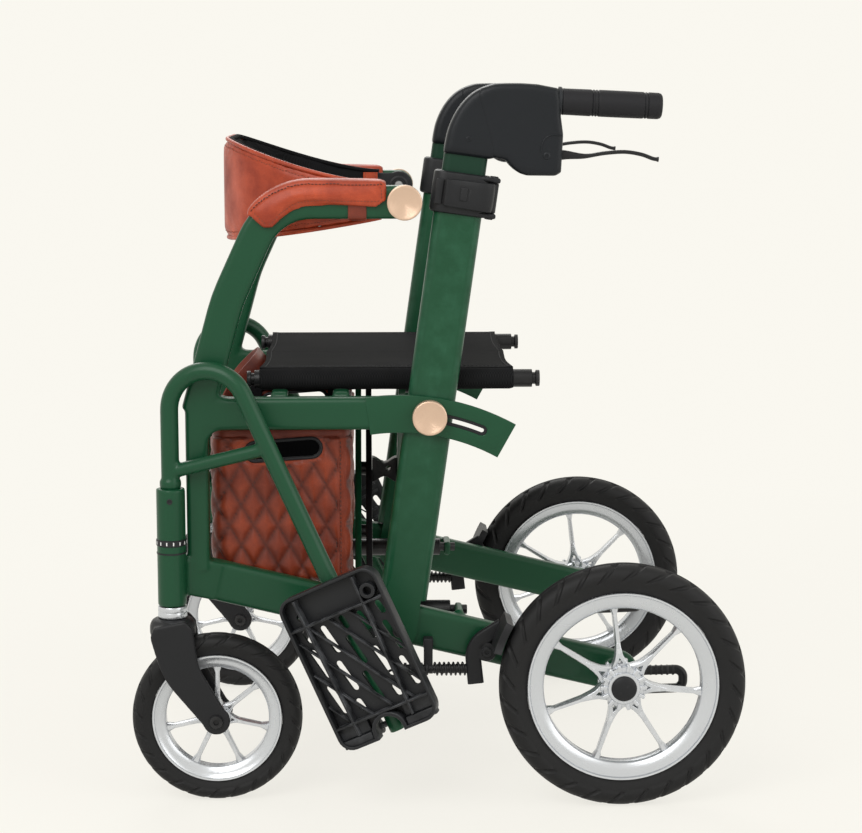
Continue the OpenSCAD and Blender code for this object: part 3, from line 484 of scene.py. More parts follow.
# Plain weave of two thread sets
def buildWeave():
    group, take, give = newGroup("weave", {
        "Thread": (0.03, 0.03, 0.03, 1), "Gap": (0.005, 0.005, 0.005, 1), "Threads per m": 900.0},
        ("Colour", "Height"))
    place = objectPlace(group)
    parts = addNode(group, "ShaderNodeSeparateXYZ", {0: place}).outputs
    waves = []
    for axis in ("X", "Y"):
        turns = mathNode(group, "MULTIPLY", parts[axis], take["Threads per m"])
        waves.append(mathNode(group, "SINE", mathNode(group, "MULTIPLY", turns, math.pi)))
    height = mapRange(group, mathNode(group, "MULTIPLY", *waves), low=-1.0)
    fuzz = mathNode(group, "ADD", noiseOf(group, place, 38.0, 5.0), 0.45)
    tone = mathNode(group, "MULTIPLY", height, fuzz)
    return giveOut(group, give, Colour=mixColour(group, tone, take["Gap"], take["Thread"]), Height=height)


speckle = buildSpeckle()
edgeWearAndHighlight = buildEdgeWearAndHighlight()
leatherGrain = buildLeatherGrain()
weave = buildWeave()


def startMaterial(name, **fixed):
    material = bpy.data.materials.new(name)
    material.use_nodes = True
    tree = material.node_tree
    shader = tree.nodes["Principled BSDF"]
    for key, value in fixed.items():
        shader.inputs[key.replace("_", " ")].default_value = value
    return material, tree, shader.inputs


def placeGroup(tree, group, **values):
    node = addNode(tree, "ShaderNodeGroup", node_tree=group)
    for key, value in values.items():
        connect(tree, value, node.inputs[key.replace("_", " ")])
    return node.outputs


def bumpInto(tree, shader, height, strength, distance):
    bump = addNode(tree, "ShaderNodeBump", {"Height": height, "Strength": strength, "Distance": distance})
    tree.links.new(bump.outputs["Normal"], shader["Normal"])


def speckled(name, colour, rough, drift, fine, bump, edgeWearHighlight=None, edgeWearHighlightAmount=0.0, **fixed):
    material, tree, shader = startMaterial(name, **fixed)
    base = placeGroup(tree, speckle, Colour=(*colour, 1), Drift=drift, Fine_Scale=fine, Roughness=rough)
    tint = base["Colour"]
    # The edge tone is part rubbed wear and part a painted highlight along edges
    if edgeWearHighlight:
        tint = placeGroup(tree, edgeWearAndHighlight, Colour=tint, Rubbed=(*edgeWearHighlight, 1), Amount=edgeWearHighlightAmount)["Colour"]
    tree.links.new(tint, shader["Base Color"])
    tree.links.new(base["Roughness"], shader["Roughness"])
    bumpInto(tree, shader, base["Height"], bump, 0.0006)
    return material


# A painted shade colour darkens the valleys of a quilt, which its mesh marks
def leather(name, light, dark, pebble, seam=None, **fixed):
    material, tree, shader = startMaterial(name, **fixed)
    hide = placeGroup(tree, leatherGrain, Light=(*light, 1), Dark=(*dark, 1), Pebble_Scale=pebble)
    worn = (*[c * 1.5 for c in light], 1)
    tint = placeGroup(tree, edgeWearAndHighlight, Colour=hide["Colour"], Rubbed=worn, Amount=0.3)["Colour"]
    # seam is the colour of the painted shade in the quilt's valleys, mixed in by the depth the mesh keeps
    if seam:
        valleyShadeMask = addNode(tree, "ShaderNodeAttribute", attribute_name="valley").outputs["Fac"]
        tint = mixColour(tree, valleyShadeMask, tint, (*seam, 1))
    tree.links.new(tint, shader["Base Color"])
    tree.links.new(hide["Roughness"], shader["Roughness"])
    bumpInto(tree, shader, hide["Height"], 0.22, 0.0005)
    return material


def woven(name, thread, gap, count, **fixed):
    material, tree, shader = startMaterial(name, **fixed)
    cloth = placeGroup(tree, weave, Thread=(*thread, 1), Gap=(*gap, 1), Threads_per_m=count)
    tree.links.new(cloth["Colour"], shader["Base Color"])
    bumpInto(tree, shader, cloth["Height"], 0.35, 0.0004)
    return material


# Colour, roughness, drift of tone, fineness of the speckle and its bump, then the lighter tone the edges take, part
# rubbed wear and part painted highlight, and its amount
greenPaint = speckled("hunterGreenPaint", (0.0056, 0.059, 0.0238), 0.36, 0.14, 1500.0, 0.05,
                      (0.03, 0.13, 0.07), 0.35, Specular_IOR_Level=0.24, Coat_Weight=0.12, Coat_Roughness=0.25)
stemPaint = speckled("stemPaint", (0.004, 0.032, 0.016), 0.4, 0.12, 1500.0, 0.05, Specular_IOR_Level=0.24)
blackPlastic = speckled("mouldedBlack", (0.0125, 0.013, 0.0145), 0.46, 0.25, 1300.0, 0.2,
                        (0.06, 0.06, 0.064), 0.5, Specular_IOR_Level=0.24)
# The ribbed plate's bright grey edge tone is a painted highlight along its ribs and rims
plateBlack = speckled("ribbedBlack", (0.0125, 0.0132, 0.015), 0.42, 0.25, 1300.0, 0.2,
                      (0.13, 0.135, 0.145), 0.9, Specular_IOR_Level=0.28)
housingPlastic = speckled("housingBlack", (0.0095, 0.0112, 0.0138), 0.4, 0.25, 1600.0, 0.16,
                          (0.07, 0.074, 0.08), 0.5, Specular_IOR_Level=0.22)
gripRubber = speckled("gripRubber", (0.0125, 0.0125, 0.0145), 0.58, 0.2, 700.0, 0.3,
                      (0.045, 0.045, 0.05), 0.4, Specular_IOR_Level=0.24)
blackMetal = speckled("blackCoat", (0.009, 0.009, 0.01), 0.34, 0.2, 1500.0, 0.06,
                      (0.12, 0.12, 0.12), 0.4, Specular_IOR_Level=0.3)
tyreRubber = speckled("tyreRubber", (0.0125, 0.0125, 0.013), 0.55, 0.35, 420.0, 0.25,
                      (0.04, 0.04, 0.042), 0.6, Specular_IOR_Level=0.22)
rimSilver = speckled("wheelSilver", (0.6, 0.62, 0.65), 0.27, 0.08, 1800.0, 0.04,
                     (0.86, 0.87, 0.9), 0.5, Metallic=0.75)
steel = speckled("zincSteel", (0.58, 0.59, 0.6), 0.28, 0.1, 1200.0, 0.05, Metallic=1.0)
capGold = speckled("champagneCap", (0.66, 0.465, 0.335), 0.3, 0.1, 1400.0, 0.04,
                   (0.85, 0.7, 0.55), 0.5, Metallic=0.5, Coat_Weight=0.1)
markWhite = speckled("markWhite", (0.78, 0.78, 0.77), 0.5, 0.1, 900.0, 0.05)
threadTan = speckled("tanThread", (0.2, 0.042, 0.018), 0.6, 0.3, 2500.0, 0.3)
threadBlack = speckled("blackThread", (0.028, 0.028, 0.03), 0.7, 0.3, 2500.0, 0.3)
threadDark = speckled("darkThread", (0.06, 0.018, 0.012), 0.6, 0.3, 2500.0, 0.3)
tanLeather = leather("cognacLeather", (0.53, 0.081, 0.028), (0.23, 0.024, 0.008), 520.0,
                     Specular_IOR_Level=0.28, Coat_Weight=0.1, Coat_Roughness=0.25)
# Its last colour is the painted shade laid in the quilt's valleys
bagLeather = leather("quiltedLeather", (0.33, 0.05, 0.014), (0.13, 0.017, 0.006), 420.0, (0.05, 0.0075, 0.004),
                     Specular_IOR_Level=0.32, Coat_Weight=0.1, Coat_Roughness=0.2)
strapLeather = leather("strapLeather", (0.2, 0.036, 0.017), (0.09, 0.015, 0.009), 600.0, Specular_IOR_Level=0.3)
lining = woven("blackLining", (0.012, 0.012, 0.0135), (0.003, 0.003, 0.003), 1100.0,
               Roughness=0.85, Specular_IOR_Level=0.1)
slingCloth = woven("slingCloth", (0.0185, 0.0188, 0.0195), (0.006, 0.006, 0.0065), 620.0,
                   Roughness=0.85, Specular_IOR_Level=0.05)
print("finishes ready:", len(bpy.data.materials))


# Camera, floor and light
stageLook = {"eye": (-0.0855, -2.885, 0.87), "aim": (0.0, 0.0, 0.435), "lens": 92.0, "far": 60,
             "paper": (0.955, 0.935, 0.87), "sky": (1, 0.99, 0.97), "skyPower": 0.55, "floor": 14,
             "lightAim": (0, 0, 0.4), "lights": (("keyLight", (-1.3, -2.6, 2.7), 2.2, 62.0),
                                                 ("fillLight", (2.6, -1.7, 1.6), 2.4, 26.0),
                                                 ("rimLight", (-0.6, 2.6, 2.6), 2.0, 34.0))}


def aimAt(obj, eye, aim):
    obj.location = eye
    obj.rotation_euler = (Vector(aim) - Vector(eye)).to_track_quat("-Z", "Y").to_euler()


def setStage(look):
    scene = bpy.context.scene
    scene.view_settings.view_transform = "Standard"
    scene.camera = addObject("camera", bpy.data.cameras.new("camera"))
    aimAt(scene.camera, look["eye"], look["aim"])
    scene.camera.data.lens = look["lens"]
    scene.camera.data.clip_end = look["far"]
    for name, at, size, power in look["lights"]:
        lamp = bpy.data.lights.new(name, "AREA")
        lamp.size = size
        lamp.energy = power
        aimAt(addObject(name, lamp), at, look["lightAim"])
    scene.world = bpy.data.worlds.new("studio")
    scene.world.use_nodes = True
    tree = scene.world.node_tree
    back = tree.nodes["Background"]
    back.inputs["Color"].default_value = (*look["sky"], 1)
    back.inputs["Strength"].default_value = look["skyPower"]
    paper = addNode(tree, "ShaderNodeBackground", {"Color": (*look["paper"], 1), "Strength": 1.0})
    mix = addNode(tree, "ShaderNodeMixShader", {0: seenRays(tree), 1: back.outputs[0], 2: paper.outputs[0]})
    tree.links.new(mix.outputs[0], tree.nodes["World Output"].inputs["Surface"])
    floor, half = bpy.data.meshes.new("floor"), look["floor"]
    floor.from_pydata([(-half, -half, 0), (half, -half, 0), (half, half, 0), (-half, half, 0)], [], [(0, 1, 2, 3)])
    floor.materials.append(paperFloor(look))
    addObject("floor", floor)


def seenRays(tree):
    path = addNode(tree, "ShaderNodeLightPath")
    seen = mathNode(tree, "ADD", path.outputs["Is Camera Ray"], path.outputs["Is Glossy Ray"])
    return mathNode(tree, "MINIMUM", mathNode(tree, "ADD", seen, path.outputs["Is Transmission Ray"]), 1.0)


# Paper that glows evenly to the camera, with the shadow laid over it
def paperFloor(look):
    material, tree, shader = startMaterial("paperFloor", Roughness=0.9, Specular_IOR_Level=0.1)
    place = objectPlace(tree)
    shade = mapRange(tree, noiseOf(tree, place, 3.0, 3.0), toLow=0.985, toHigh=1.0)
    tree.links.new(scaleColour(tree, look["paper"], shade), shader["Base Color"])
    glow = addNode(tree, "ShaderNodeEmission", {"Color": (*look["paper"], 1), "Strength": 1.0})
    far = addNode(tree, "ShaderNodeVectorMath", {0: place}, operation="LENGTH").outputs["Value"]
    share = mathNode(tree, "MULTIPLY", seenRays(tree), mapRange(tree, far, 0.7, 2.0, 0.8, 1.0))
    matt = tree.nodes["Principled BSDF"].outputs[0]
    mix = addNode(tree, "ShaderNodeMixShader", {0: share, 1: matt, 2: glow.outputs[0]})
    tree.links.new(mix.outputs[0], tree.nodes["Material Output"].inputs["Surface"])
    return material


setStage(stageLook)

# Brake cables first: a short loop from the rail's grommet into the adjuster
cableLook = {"y": -255.5, "d": 3.2,
             "route": [(-303, 204), (-304, 194), (-307, 184), (-311, 175), (-313, 166), (-310, 157), (-303, 152),
                       (-295, 152), (-287, 155), (-279, 159), (-268, 160)]}


def buildCables(look):
    for side, sign in (("left", 1), ("right", -1)):
        spots = [toRow @ Vector((x, look["y"] * sign, z)) for x, z in smoothRoute(look["route"], 4)]
        curve = bpy.data.curves.new(side + "_cable_loop", "CURVE")
        curve.dimensions = "3D"
        curve.bevel_depth = look["d"] / 2000
        curve.bevel_resolution = 4
        curve.use_fill_caps = True
        curve.materials.append(gripRubber)
        line = curve.splines.new("POLY")
        line.points.add(len(spots) - 1)
        for point, spot in zip(line.points, spots):
            point.co = (*spot, 1)
        obj = addObject(side + "_cable_loop", curve)
        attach(obj, side + "_frame")


buildCables(cableLook)
print("stage and cables set")

# Side frames: head tube, lower rail, upright, armrest tube and seat rail, melted together
frameLook = {"headR": 17.5, "headLow": 243.4, "headHigh": 388, "railHigh": 50, "railThick": 22, "railFront": 276,
             "railRun": 524, "railX": headX + 12, "lugX": (headX + 4, headX + 56), "lugY": -241, "lugThick": 30,
             "armHigh": 40, "armThick": 25, "armY": -238.5, "seatZ": 476, "seatEnd": -281, "uprightX": -514.3,
             "uprightZ": (284, 490), "uprightWide": 28, "corner": 6.5, "fillet": 14, "filletY": (-250, -227),
             "corners": (((-500.3, 456), -1), ((-492, 496), 1)),
             "knee": [(headX + 33, 478), (headX + 70, 613), (headX + 124.2, flipZ), (flipX, flipZ)],
             "kneeBends": [200, 75], "boss": [(23, -8), (26, -5), (26.5, 0), (26, 5), (23, 8)],
             "hingeBoss": [(19.6, -245.4), (20, -244), (20, -228), (18, -226.2)],
             "axleTube": (17, -273, -231), "brakePin": (8, -250, -231), "braceLugs": (-350, -200),
             "seatRests": (-425, -350), "voxel": 2.2, "ease": 5}
# The plate that a post swings along: the lock's slot lies on an arc about the post's pivot
lockLook = {"r": 269, "from": 82, "to": 68, "slot": 6.3, "rims": (293, 247), "ends": (98, 61),
            "faces": (-251.7, -246.2), "brush": (6.6, 2.6), "brushFaces": (-250.8, -247)}


def railZ(x):
    return rearAxle[2] - x * (frameLook["railFront"] - rearAxle[2]) / frameLook["railRun"]


# Rounds the inner corner between the upright and the seat rail, above it or below
def cornerFillet(bm, at, r, up, outerY, innerY):
    curve = [at + Vector((r - p.x, up * (r - p.y))) for p in arc((0, 0), r, 0, 90, 6)]
    addPlate(bm, [at - Vector((4, up * 4)), *curve], outerY, innerY)


def slotRim(look, half):
    r, start, end = look["r"], look["from"], look["to"]
    rim = arc(postPivot, r + half, start, end, 10)
    rim += arc(postPivot + polar(r, end), half, end - 30, end - 150, 4)
    rim += arc(postPivot, r - half, end, start, 10)
    return rim + arc(postPivot + polar(r, start), half, start + 150, start + 30, 4)


def buildFrames(look, lock):
    bm = bmesh.new()
    addPin(bm, look["headR"], look["headLow"], look["headHigh"], (headX, headY, 0), alongZ)
    rail = roundRect(look["railHigh"], look["railThick"], look["corner"])
    addBar(bm, straightWay((look["railX"], railZ(look["railX"])), (0, rearAxle[2]), 40), rail, sideY)
    addTurned(bm, look["boss"], (0, sideY - 2, rearAxle[2]), alongY)
    addPin(bm, *look["axleTube"], (0, 0, rearAxle[2]), alongY)
    # The front lug is a wedge that runs out into the rail
    lug = roundRect(look["railHigh"] - 3, look["lugThick"], 5)
    lugWay = straightWay(*[(x, railZ(x)) for x in look["lugX"]], 10)
    addBar(bm, lugWay, lug, look["lugY"], lambda t: (1 + 0.02 * t, 1 - 0.8 * t))
    arm = roundRect(look["armHigh"], look["armThick"], look["corner"])
    post = roundRect(look["uprightWide"], look["armThick"], look["corner"])
    upright = straightWay(*[(look["uprightX"], z) for z in look["uprightZ"]], 40)
    addBar(bm, upright, post, look["armY"])
    addBar(bm, fillWay(wayAlong(look["knee"], look["kneeBends"]), 30), arm, look["armY"])
    seat = straightWay((look["uprightX"], look["seatZ"]), (look["seatEnd"], look["seatZ"]), 40)
    addBar(bm, seat, arm, look["armY"])
    for at, up in look["corners"]:
        cornerFillet(bm, Vector(at), look["fillet"], up, *look["filletY"])
    addTurned(bm, look["hingeBoss"], (flipX, 0, flipZ), alongY)
    addPin(bm, *look["brakePin"], (brakePivot.x, 0, brakePivot.y), alongY, sides=24)
    for x in look["braceLugs"]:
        addBlock(bm, (x, -228, 207), (x + 10, -182, 227), 3)
    for x in look["seatRests"]:
        addBlock(bm, (x, -228, 489), (x + 20, -186, 500.4), 3)
    melted = fuseShells(bm, look["voxel"], look["ease"])
    start, end = lock["ends"]
    plate = arc(postPivot, lock["rims"][0], start, end, 16) + arc(postPivot, lock["rims"][1], end, start, 16)
    addPlate(melted, plate, *lock["faces"], [slotRim(lock, lock["slot"])], bevel=1.0)
    makePair("side_frame", melted, "frame", [greenPaint], "frame_green", ["lower_frame", "upper_frame"], sharp=50)


# A brush strip lines the slot
def buildSlotBrush(look):
    bm = bmesh.new()
    outer, inner = look["brush"]
    addPlate(bm, slotRim(look, outer), *look["brushFaces"], [slotRim(look, inner)], bevel=0.4)
    makePair("slot_brush", bm, "frame", [gripRubber], "black_rubber")


buildFrames(frameLook, lockLook)
buildSlotBrush(lockLook)

# Rings, a hole and white marks on the head tubes
headLook = {"ringZ": 322, "ringR": 18.4, "lineZ": 309, "lineR": 18.1, "holeZ": 374, "holeY": headY - 17.3,
            "hole": [(3.4, 0), (3.4, 0.7), (2.6, 0.9), (1.6, 0.4), (0, 0.4)], "markR": 18.3, "marks": 14}


def buildHeadTrim(look):
    bm = bmesh.new()
    addPin(bm, look["ringR"], -4, 4, (headX, headY, look["ringZ"]), alongZ, ease=(0.8, 0.6))
    addPin(bm, look["lineR"], -1, 1, (headX, headY, look["lineZ"]), alongZ, ease=(0.6, 0.3))
    addTurned(bm, look["hole"], (headX, look["holeY"], look["holeZ"]), outward, sides=20)
    for i in range(look["marks"]):
        a = 360 * i / look["marks"]
        p = polar(look["markR"], a)
        turn = Matrix.Translation((headX + p.x, headY + p.y, look["ringZ"]))
        turn = turn @ Matrix.Rotation(math.radians(a), 4, "Z")
        addBlock(bm, (-0.3, -0.7, -2), (0.35, 0.7, 2), 0, material=1, matrix=turn)
    makePair("head_ring", bm, "frame", [blackPlastic, markWhite], "black_plastic")


buildHeadTrim(headLook)
print("side frames built")

# Posts and stems keep their solids; a bolt head dresses each side of a post's pivot
for side in ("left", "right"):
    for node, finish in (("post", greenPaint), ("handle_stem", stemPaint)):
        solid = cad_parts[side + "_" + node].data
        solid.materials.clear()
        solid.materials.append(finish)

boltLook = {"r": 8, "high": 2.6, "socket": 3.6, "faces": ((-248.4, outward), (-213.6, alongY))}


def buildPivotBolts(look):
    bm = bmesh.new()
    for y, axis in look["faces"]:
        addBolt(bm, (postPivot.x, y, postPivot.y), axis, look["r"], look["high"], look["socket"])
    makePair("pivot_bolt", bm, "post", [blackMetal], "black_metal")


buildPivotBolts(boltLook)

# Round caps: a dished face turned in fine rings, a bright lip and a pin behind
capsLook = {"r": 21, "lip": 18.8, "dish": 2.7, "ring": 1.5, "ringDeep": 0.1, "steps": 50,
            "lock_knob": {"piece": "lock_cap", "at": (-232.6, -265.5, 472.4), "thick": 14, "pin": 5, "tail": 22.6,
                          "hollow": (5, 0)},
            "armrest_button": {"piece": "arm_cap", "at": (flipX, -263.5, flipZ), "thick": 13, "pin": 8, "tail": 21,
                               "hollow": (16.3, 5.3)}}


def buildCaps(look):
    r, lip = look["r"], look["lip"]
    face = []
    for i in range(look["steps"] + 1):
        s = lip * i / look["steps"]
        turned = look["ringDeep"] * math.sin(2 * math.pi * s / look["ring"]) * min(1, s / 4)
        face.append((s, look["dish"] * (1 - (s / lip) ** 2) + turned))
    for node in ("lock_knob", "armrest_button"):
        cap = look[node]
        deep, pin, tail, (hollowR, hollow) = cap["thick"], cap["pin"], cap["tail"], cap["hollow"]
        profile = face + [(lip + 0.4, 0.0), (r - 1.3, 0.0), (r - 0.5, 0.3), (r, 1.0), (r, deep - 0.8),
                          (r - 0.6, deep), (hollowR, deep)]
        if hollow:
            profile.append((hollowR, deep - hollow))
        profile += [(pin, deep - hollow), (pin, tail - 0.5), (pin - 0.5, tail)]
        bm = bmesh.new()
        addTurned(bm, profile, cap["at"], alongY, sides=72)
        makePair(cap["piece"], bm, node, [capGold], "champagne_cap", [node], sharp=40)


buildCaps(capsLook)

# Handle housings: an elbow over the stem and a deeper body with its fin, each a softened shell
housingLook = {"elbowHalf": 18.2, "bodyHalf": 19.4, "voxel": 1.6, "ease": 7,
               "elbowFront": [(-215.4, 789), (-214, 800), (-210.5, 816), (-204, 832), (-195, 846.5), (-183.4, 858.6),
                              (-170, 866.6), (-156, 871), (-143, 871.8), (-126, 871.8)],
               "elbowBack": [(-126, 846), (-139, 806), (-150, 784), (-161.7, 781.6)],
               "body": [(-172, 865.8), (-156, 871), (-143, 871.8), (-124, 871.8), (-104, 870.4), (-79, 865.6),
                        (-76, 851), (-76, 834), (-72.8, 811), (-75, 766), (-82, 761.8), (-116, 762.2), (-124, 764.6),
                        (-131, 769), (-137, 774.6), (-142, 781), (-158, 783.6), (-163.5, 806), (-171, 834),
                        (-178, 858)],
               "guard": [(-100, 791), (-98.6, 800), (-95, 806.4), (-88, 810.4), (-74.4, 810.2)],
               "collar": [(17.5, 0), (17.5, 3), (16.6, 4.2), (0, 4.2)], "collarAt": (-78.5, sideY, 850.1),
               "pivotBolt": (4.6, 1.5, 2.0), "elbowBolt": (3.6, 1.2, 1.7), "elbowBoltAt": (-186, 806)}
leverPivot = (-93, sideY, 786)
gripSlope = math.radians(2.7)
gripAxis = (math.cos(gripSlope), 0, -math.sin(gripSlope))


def softPlate(look, outline, half, bevel):
    bm = bmesh.new()
    addPlate(bm, outline, sideY - half, sideY + half, bevel=bevel)
    return fuseShells(bm, look["voxel"], look["ease"])


def buildHousings(look):
    bm = softPlate(look, smoothRoute(look["elbowFront"], 4) + look["elbowBack"], look["elbowHalf"], 9)
    joinInto(bm, softPlate(look, look["body"], look["bodyHalf"], 7))
    addTurned(bm, look["collar"], look["collarAt"], gripAxis)
    for way in (-1, 1):
        y = sideY + way * look["bodyHalf"]
        addTube(bm, [(p.x, y, p.y) for p in smoothRoute(look["guard"], 5)], 1.0, sides=10)
        addBolt(bm, (leverPivot[0], y - way * 0.6, leverPivot[2]), (0, way, 0), *look["pivotBolt"])
        x, z = look["elbowBoltAt"]
        addBolt(bm, (x, y - way * 1.9, z), (0, way, 0), *look["elbowBolt"])
    makePair("housing_shell", bm, "handle", [housingPlastic], "black_plastic", ["handle_housing"], sharp=60)


buildHousings(housingLook)

# Grips: a ribbed sleeve with ring grooves and an end cap
gripLook = {"at": (-76, sideY, 850), "r": 16, "length": 122, "grooves": (38, 41.5, 45, 101, 104.5), "deep": 1.3,
            "half": 1.2, "swell": 0.35}


def buildGrips(look):
    r, length, half, swell = look["r"], look["length"], look["half"], look["swell"]
    profile = [(0, 1), (r - 2.2, 1), (r - 0.6, 2.2), (r, 4)]
    for i in range(1, 120):
        h = 4 + (length - 8) * i / 120
        dip = max([0] + [look["deep"] * (1 - abs(h - g) / half) for g in look["grooves"] if abs(h - g) < half])
        profile.append((r - dip + swell * math.sin(math.pi * h / length) - swell, h))
    profile += [(r - 0.4, length - 4), (r - 1.4, length - 1.4), (r - 3.4, length), (6, length), (5, length - 1),
                (0, length - 1)]
    bm = bmesh.new()
    addTurned(bm, profile, look["at"], gripAxis, sides=56)
    makePair("grip_sleeve", bm, "handle", [gripRubber], "black_rubber", ["grip"], sharp=42)


buildGrips(gripLook)

# Brake levers: a flat root, a wavy blade and a rolled tip
leverLook = {"path": [(-93, 786), (-70, 786.5), (-46, 785), (-22, 788.5), (2, 790), (22, 787), (36, 782), (43, 781)],
             "thick": 6.0, "wide": 12.5, "boss": (9, -6, 6)}


# Thickness and width along the blade
def bladeScale(t):
    if t < 0.95:
        return 0.8 + 2.2 * max(0, 1 - t / 0.34) ** 1.3, 1 - 0.35 * t
    return 1.0, 0.72


def buildLevers(look):
    dense = smoothRoute(look["path"], 6)
    way = []
    for i, p in enumerate(dense):
        along = heading(dense, i)
        way.append((p.x, p.y, math.degrees(math.atan2(along.y, along.x))))
    bm = bmesh.new()
    addBar(bm, way, oval(look["thick"], look["wide"], 20, 3.2), sideY, bladeScale)
    addPin(bm, *look["boss"], leverPivot, alongY, sides=32, ease=(0.6, 1))
    makePair("lever_blade", bm, "brake_lever", [blackMetal], "black_metal", ["brake_lever"], sharp=45)


buildLevers(leverLook)

# Height clamps: a rounded block with bolted ears, and a quick-release lever with its buckle
postTurn = Matrix.Translation((postPivot.x, sideY, postPivot.y)) @ Matrix.Rotation(math.radians(8), 4, "Y")
clampLook = {"wide": 70, "thick": 41, "low": 515, "high": 565, "round": 14, "pin": (37, -9), "earGap": 18.4,
             "barrel": (6.9, -17.8, 17.8), "pinBar": (3, -23, 23), "bolt": (5.2, 2.2, 2.4), "boltSunk": 1.2,
             "root": (18.2, 3.3), "taper": (2.4, 0.9), "tip": (12, 1.4), "tipFrom": 0.97,
             "path": [(37, -9), (36.5, -18), (33, -24.6), (24, -26.6), (12, -26.2), (0, -25.2), (-12, -24.6),
                      (-18, -25.2), (-20.5, -26.4)]}


def buildClamps(look):
    bm = bmesh.new()
    low, high, (pinX, pinY) = look["low"], look["high"], look["pin"]
    mid = (low + high) / 2
    rings = []
    for s, grow in ((low, -3), (low + 1.4, -0.8), (low + 4, 0), (high - 4, 0), (high - 1.4, -0.8), (high, -3)):
        ring = roundRect(look["wide"] + 2 * grow, look["thick"] + 2 * grow, look["round"] + grow, 6)
        rings.append([Vector((p.x, p.y, s)) for p in ring])
    addLoft(bm, rings)
    addBlock(bm, (-31, -22.4, mid - 15), (-22, -14, mid + 15), 1.2)
    for start, end in ((low + 0.6, mid - look["earGap"]), (mid + look["earGap"], high - 0.6)):
        addBlock(bm, (20, -20.3, start), (44.6, 10, end), 2.2)
    addBlock(bm, (20, 0, low + 2), (43.6, 12, high - 2), 3)
    addBolt(bm, (pinX, pinY, high - look["boltSunk"]), alongZ, *look["bolt"])
    addBolt(bm, (pinX, pinY, low + look["boltSunk"]), (0, 0, -1), *look["bolt"])
    bm.transform(postTurn)
    makePair("clamp_block", bm, "post", [blackPlastic], "black_plastic", ["height_clamp"], sharp=40)
    bm = bmesh.new()
    addPin(bm, *look["barrel"], (pinX, pinY, mid), alongZ, sides=28, ease=(0.7, 0.8))
    addPin(bm, *look["pinBar"], (pinX, pinY, mid), alongZ, sides=20)
    path = smoothRoute(look["path"], 5)
    rings = []
    for i, p in enumerate(path):
        along, t = heading(path, i), i / (len(path) - 1)
        half, thick = look["tip"]
        if t < look["tipFrom"]:
            half, thick = (root - thin * t for root, thin in zip(look["root"], look["taper"]))
        rings.append([Vector((p.x - along.y * q.x, p.y + along.x * q.x, mid + q.y))
                      for q in oval(2 * thick, 2 * half, 16, 3.4)])
    addLoft(bm, rings)
    addBlock(bm, (-1.5, -30, mid - 7.5), (7, -26, mid + 8.5), 1.2)  # buckle with its tongue
    addBlock(bm, (8.6, -29.2, mid - 8), (11, -26, mid + 7), 0.7)
    bm.transform(postTurn)
    makePair("release_lever", bm, "clamp_lever", [blackPlastic], "black_plastic", ["clamp_lever"], sharp=45)


buildClamps(clampLook)

# White height marks on the stems, which show as a handle goes up
markLook = {"first": 452, "last": 552, "gap": 20, "left": -16, "long": 9, "half": 0.7}


def buildStemMarks(look):
    bm = bmesh.new()
    for s in range(look["first"], look["last"] + 1, look["gap"]):
        addBlock(bm, (look["left"], -12.02, s - look["half"]),
                 (look["left"] + look["long"], -11.6, s + look["half"]), 0)
    bm.transform(postTurn)
    makePair("stem_mark", bm, "handle", [markWhite], "stem_green")


buildStemMarks(markLook)
print("posts and handles built")

# Wheels: a lipped rim, blade spokes that fork at the hub, and a castellated hub ring
rearWheelLook = {"at": rearAxle, "rim": 116, "deep": 20, "wide": 32, "hub": 25, "hubHalf": 22, "root": 5.4,
                 "tip": 2.7, "blade": 9, "turn": -7, "fork": 15, "teeth": 14}
casterWheelLook = {"at": casterAxle, "rim": 79, "deep": 16, "wide": 28, "hub": 15.5, "hubHalf": 19.4,
                   "root": 4.8, "tip": 2.8, "blade": 7, "turn": 0, "fork": 10, "teeth": 0}
spokeCount, rimSteps = 7, 96
spokeSection = ((-1, -0.55), (-0.55, -1), (0.55, -1), (1, -0.55), (1, 0.55), (0.55, 1), (-0.55, 1), (-1, 0.55))


# A spoke in the wheel's plane that tapers in width and depth from one end to the other
def addSpokePart(bm, centre, a, b, half, blade):
    across = Vector((-(b - a).y, (b - a).x)).normalized()
    rings = []
    for i in range(7):
        t = i / 6
        p = a.lerp(b, t)
        h = half[0] + (half[1] - half[0]) * t
        d = blade[0] + (blade[1] - blade[0]) * t
        rings.append([centre + Vector((p.x + across.x * u * h, v * d, p.y + across.y * u * h))
                      for u, v in spokeSection])
    addLoft(bm, rings)


# The web where a spoke widens into the hub, with an eye in it
def spokeWeb(look):
    hub, reach, blade = look["hub"], look["fork"], look["blade"] * 0.97
    root = math.pi * hub / spokeCount
    flank = [Vector((hub - 2, root)), Vector((hub + reach * 0.22, root * 0.74)),
             Vector((hub + reach * 0.5, root * 0.54)), Vector((hub + reach * 0.95, root * 0.38)),
             Vector((hub + reach * 1.9, look["root"] * 0.4))]
    eye = [Vector((hub + reach * 0.16, -root * 0.3)), Vector((hub + reach * 0.62, 0)),
           Vector((hub + reach * 0.16, root * 0.3))]
    web = bmesh.new()
    addPlate(web, [Vector((p.x, -p.y)) for p in flank] + flank[::-1], -blade, blade, [eye], bevel=1.2)
    return web


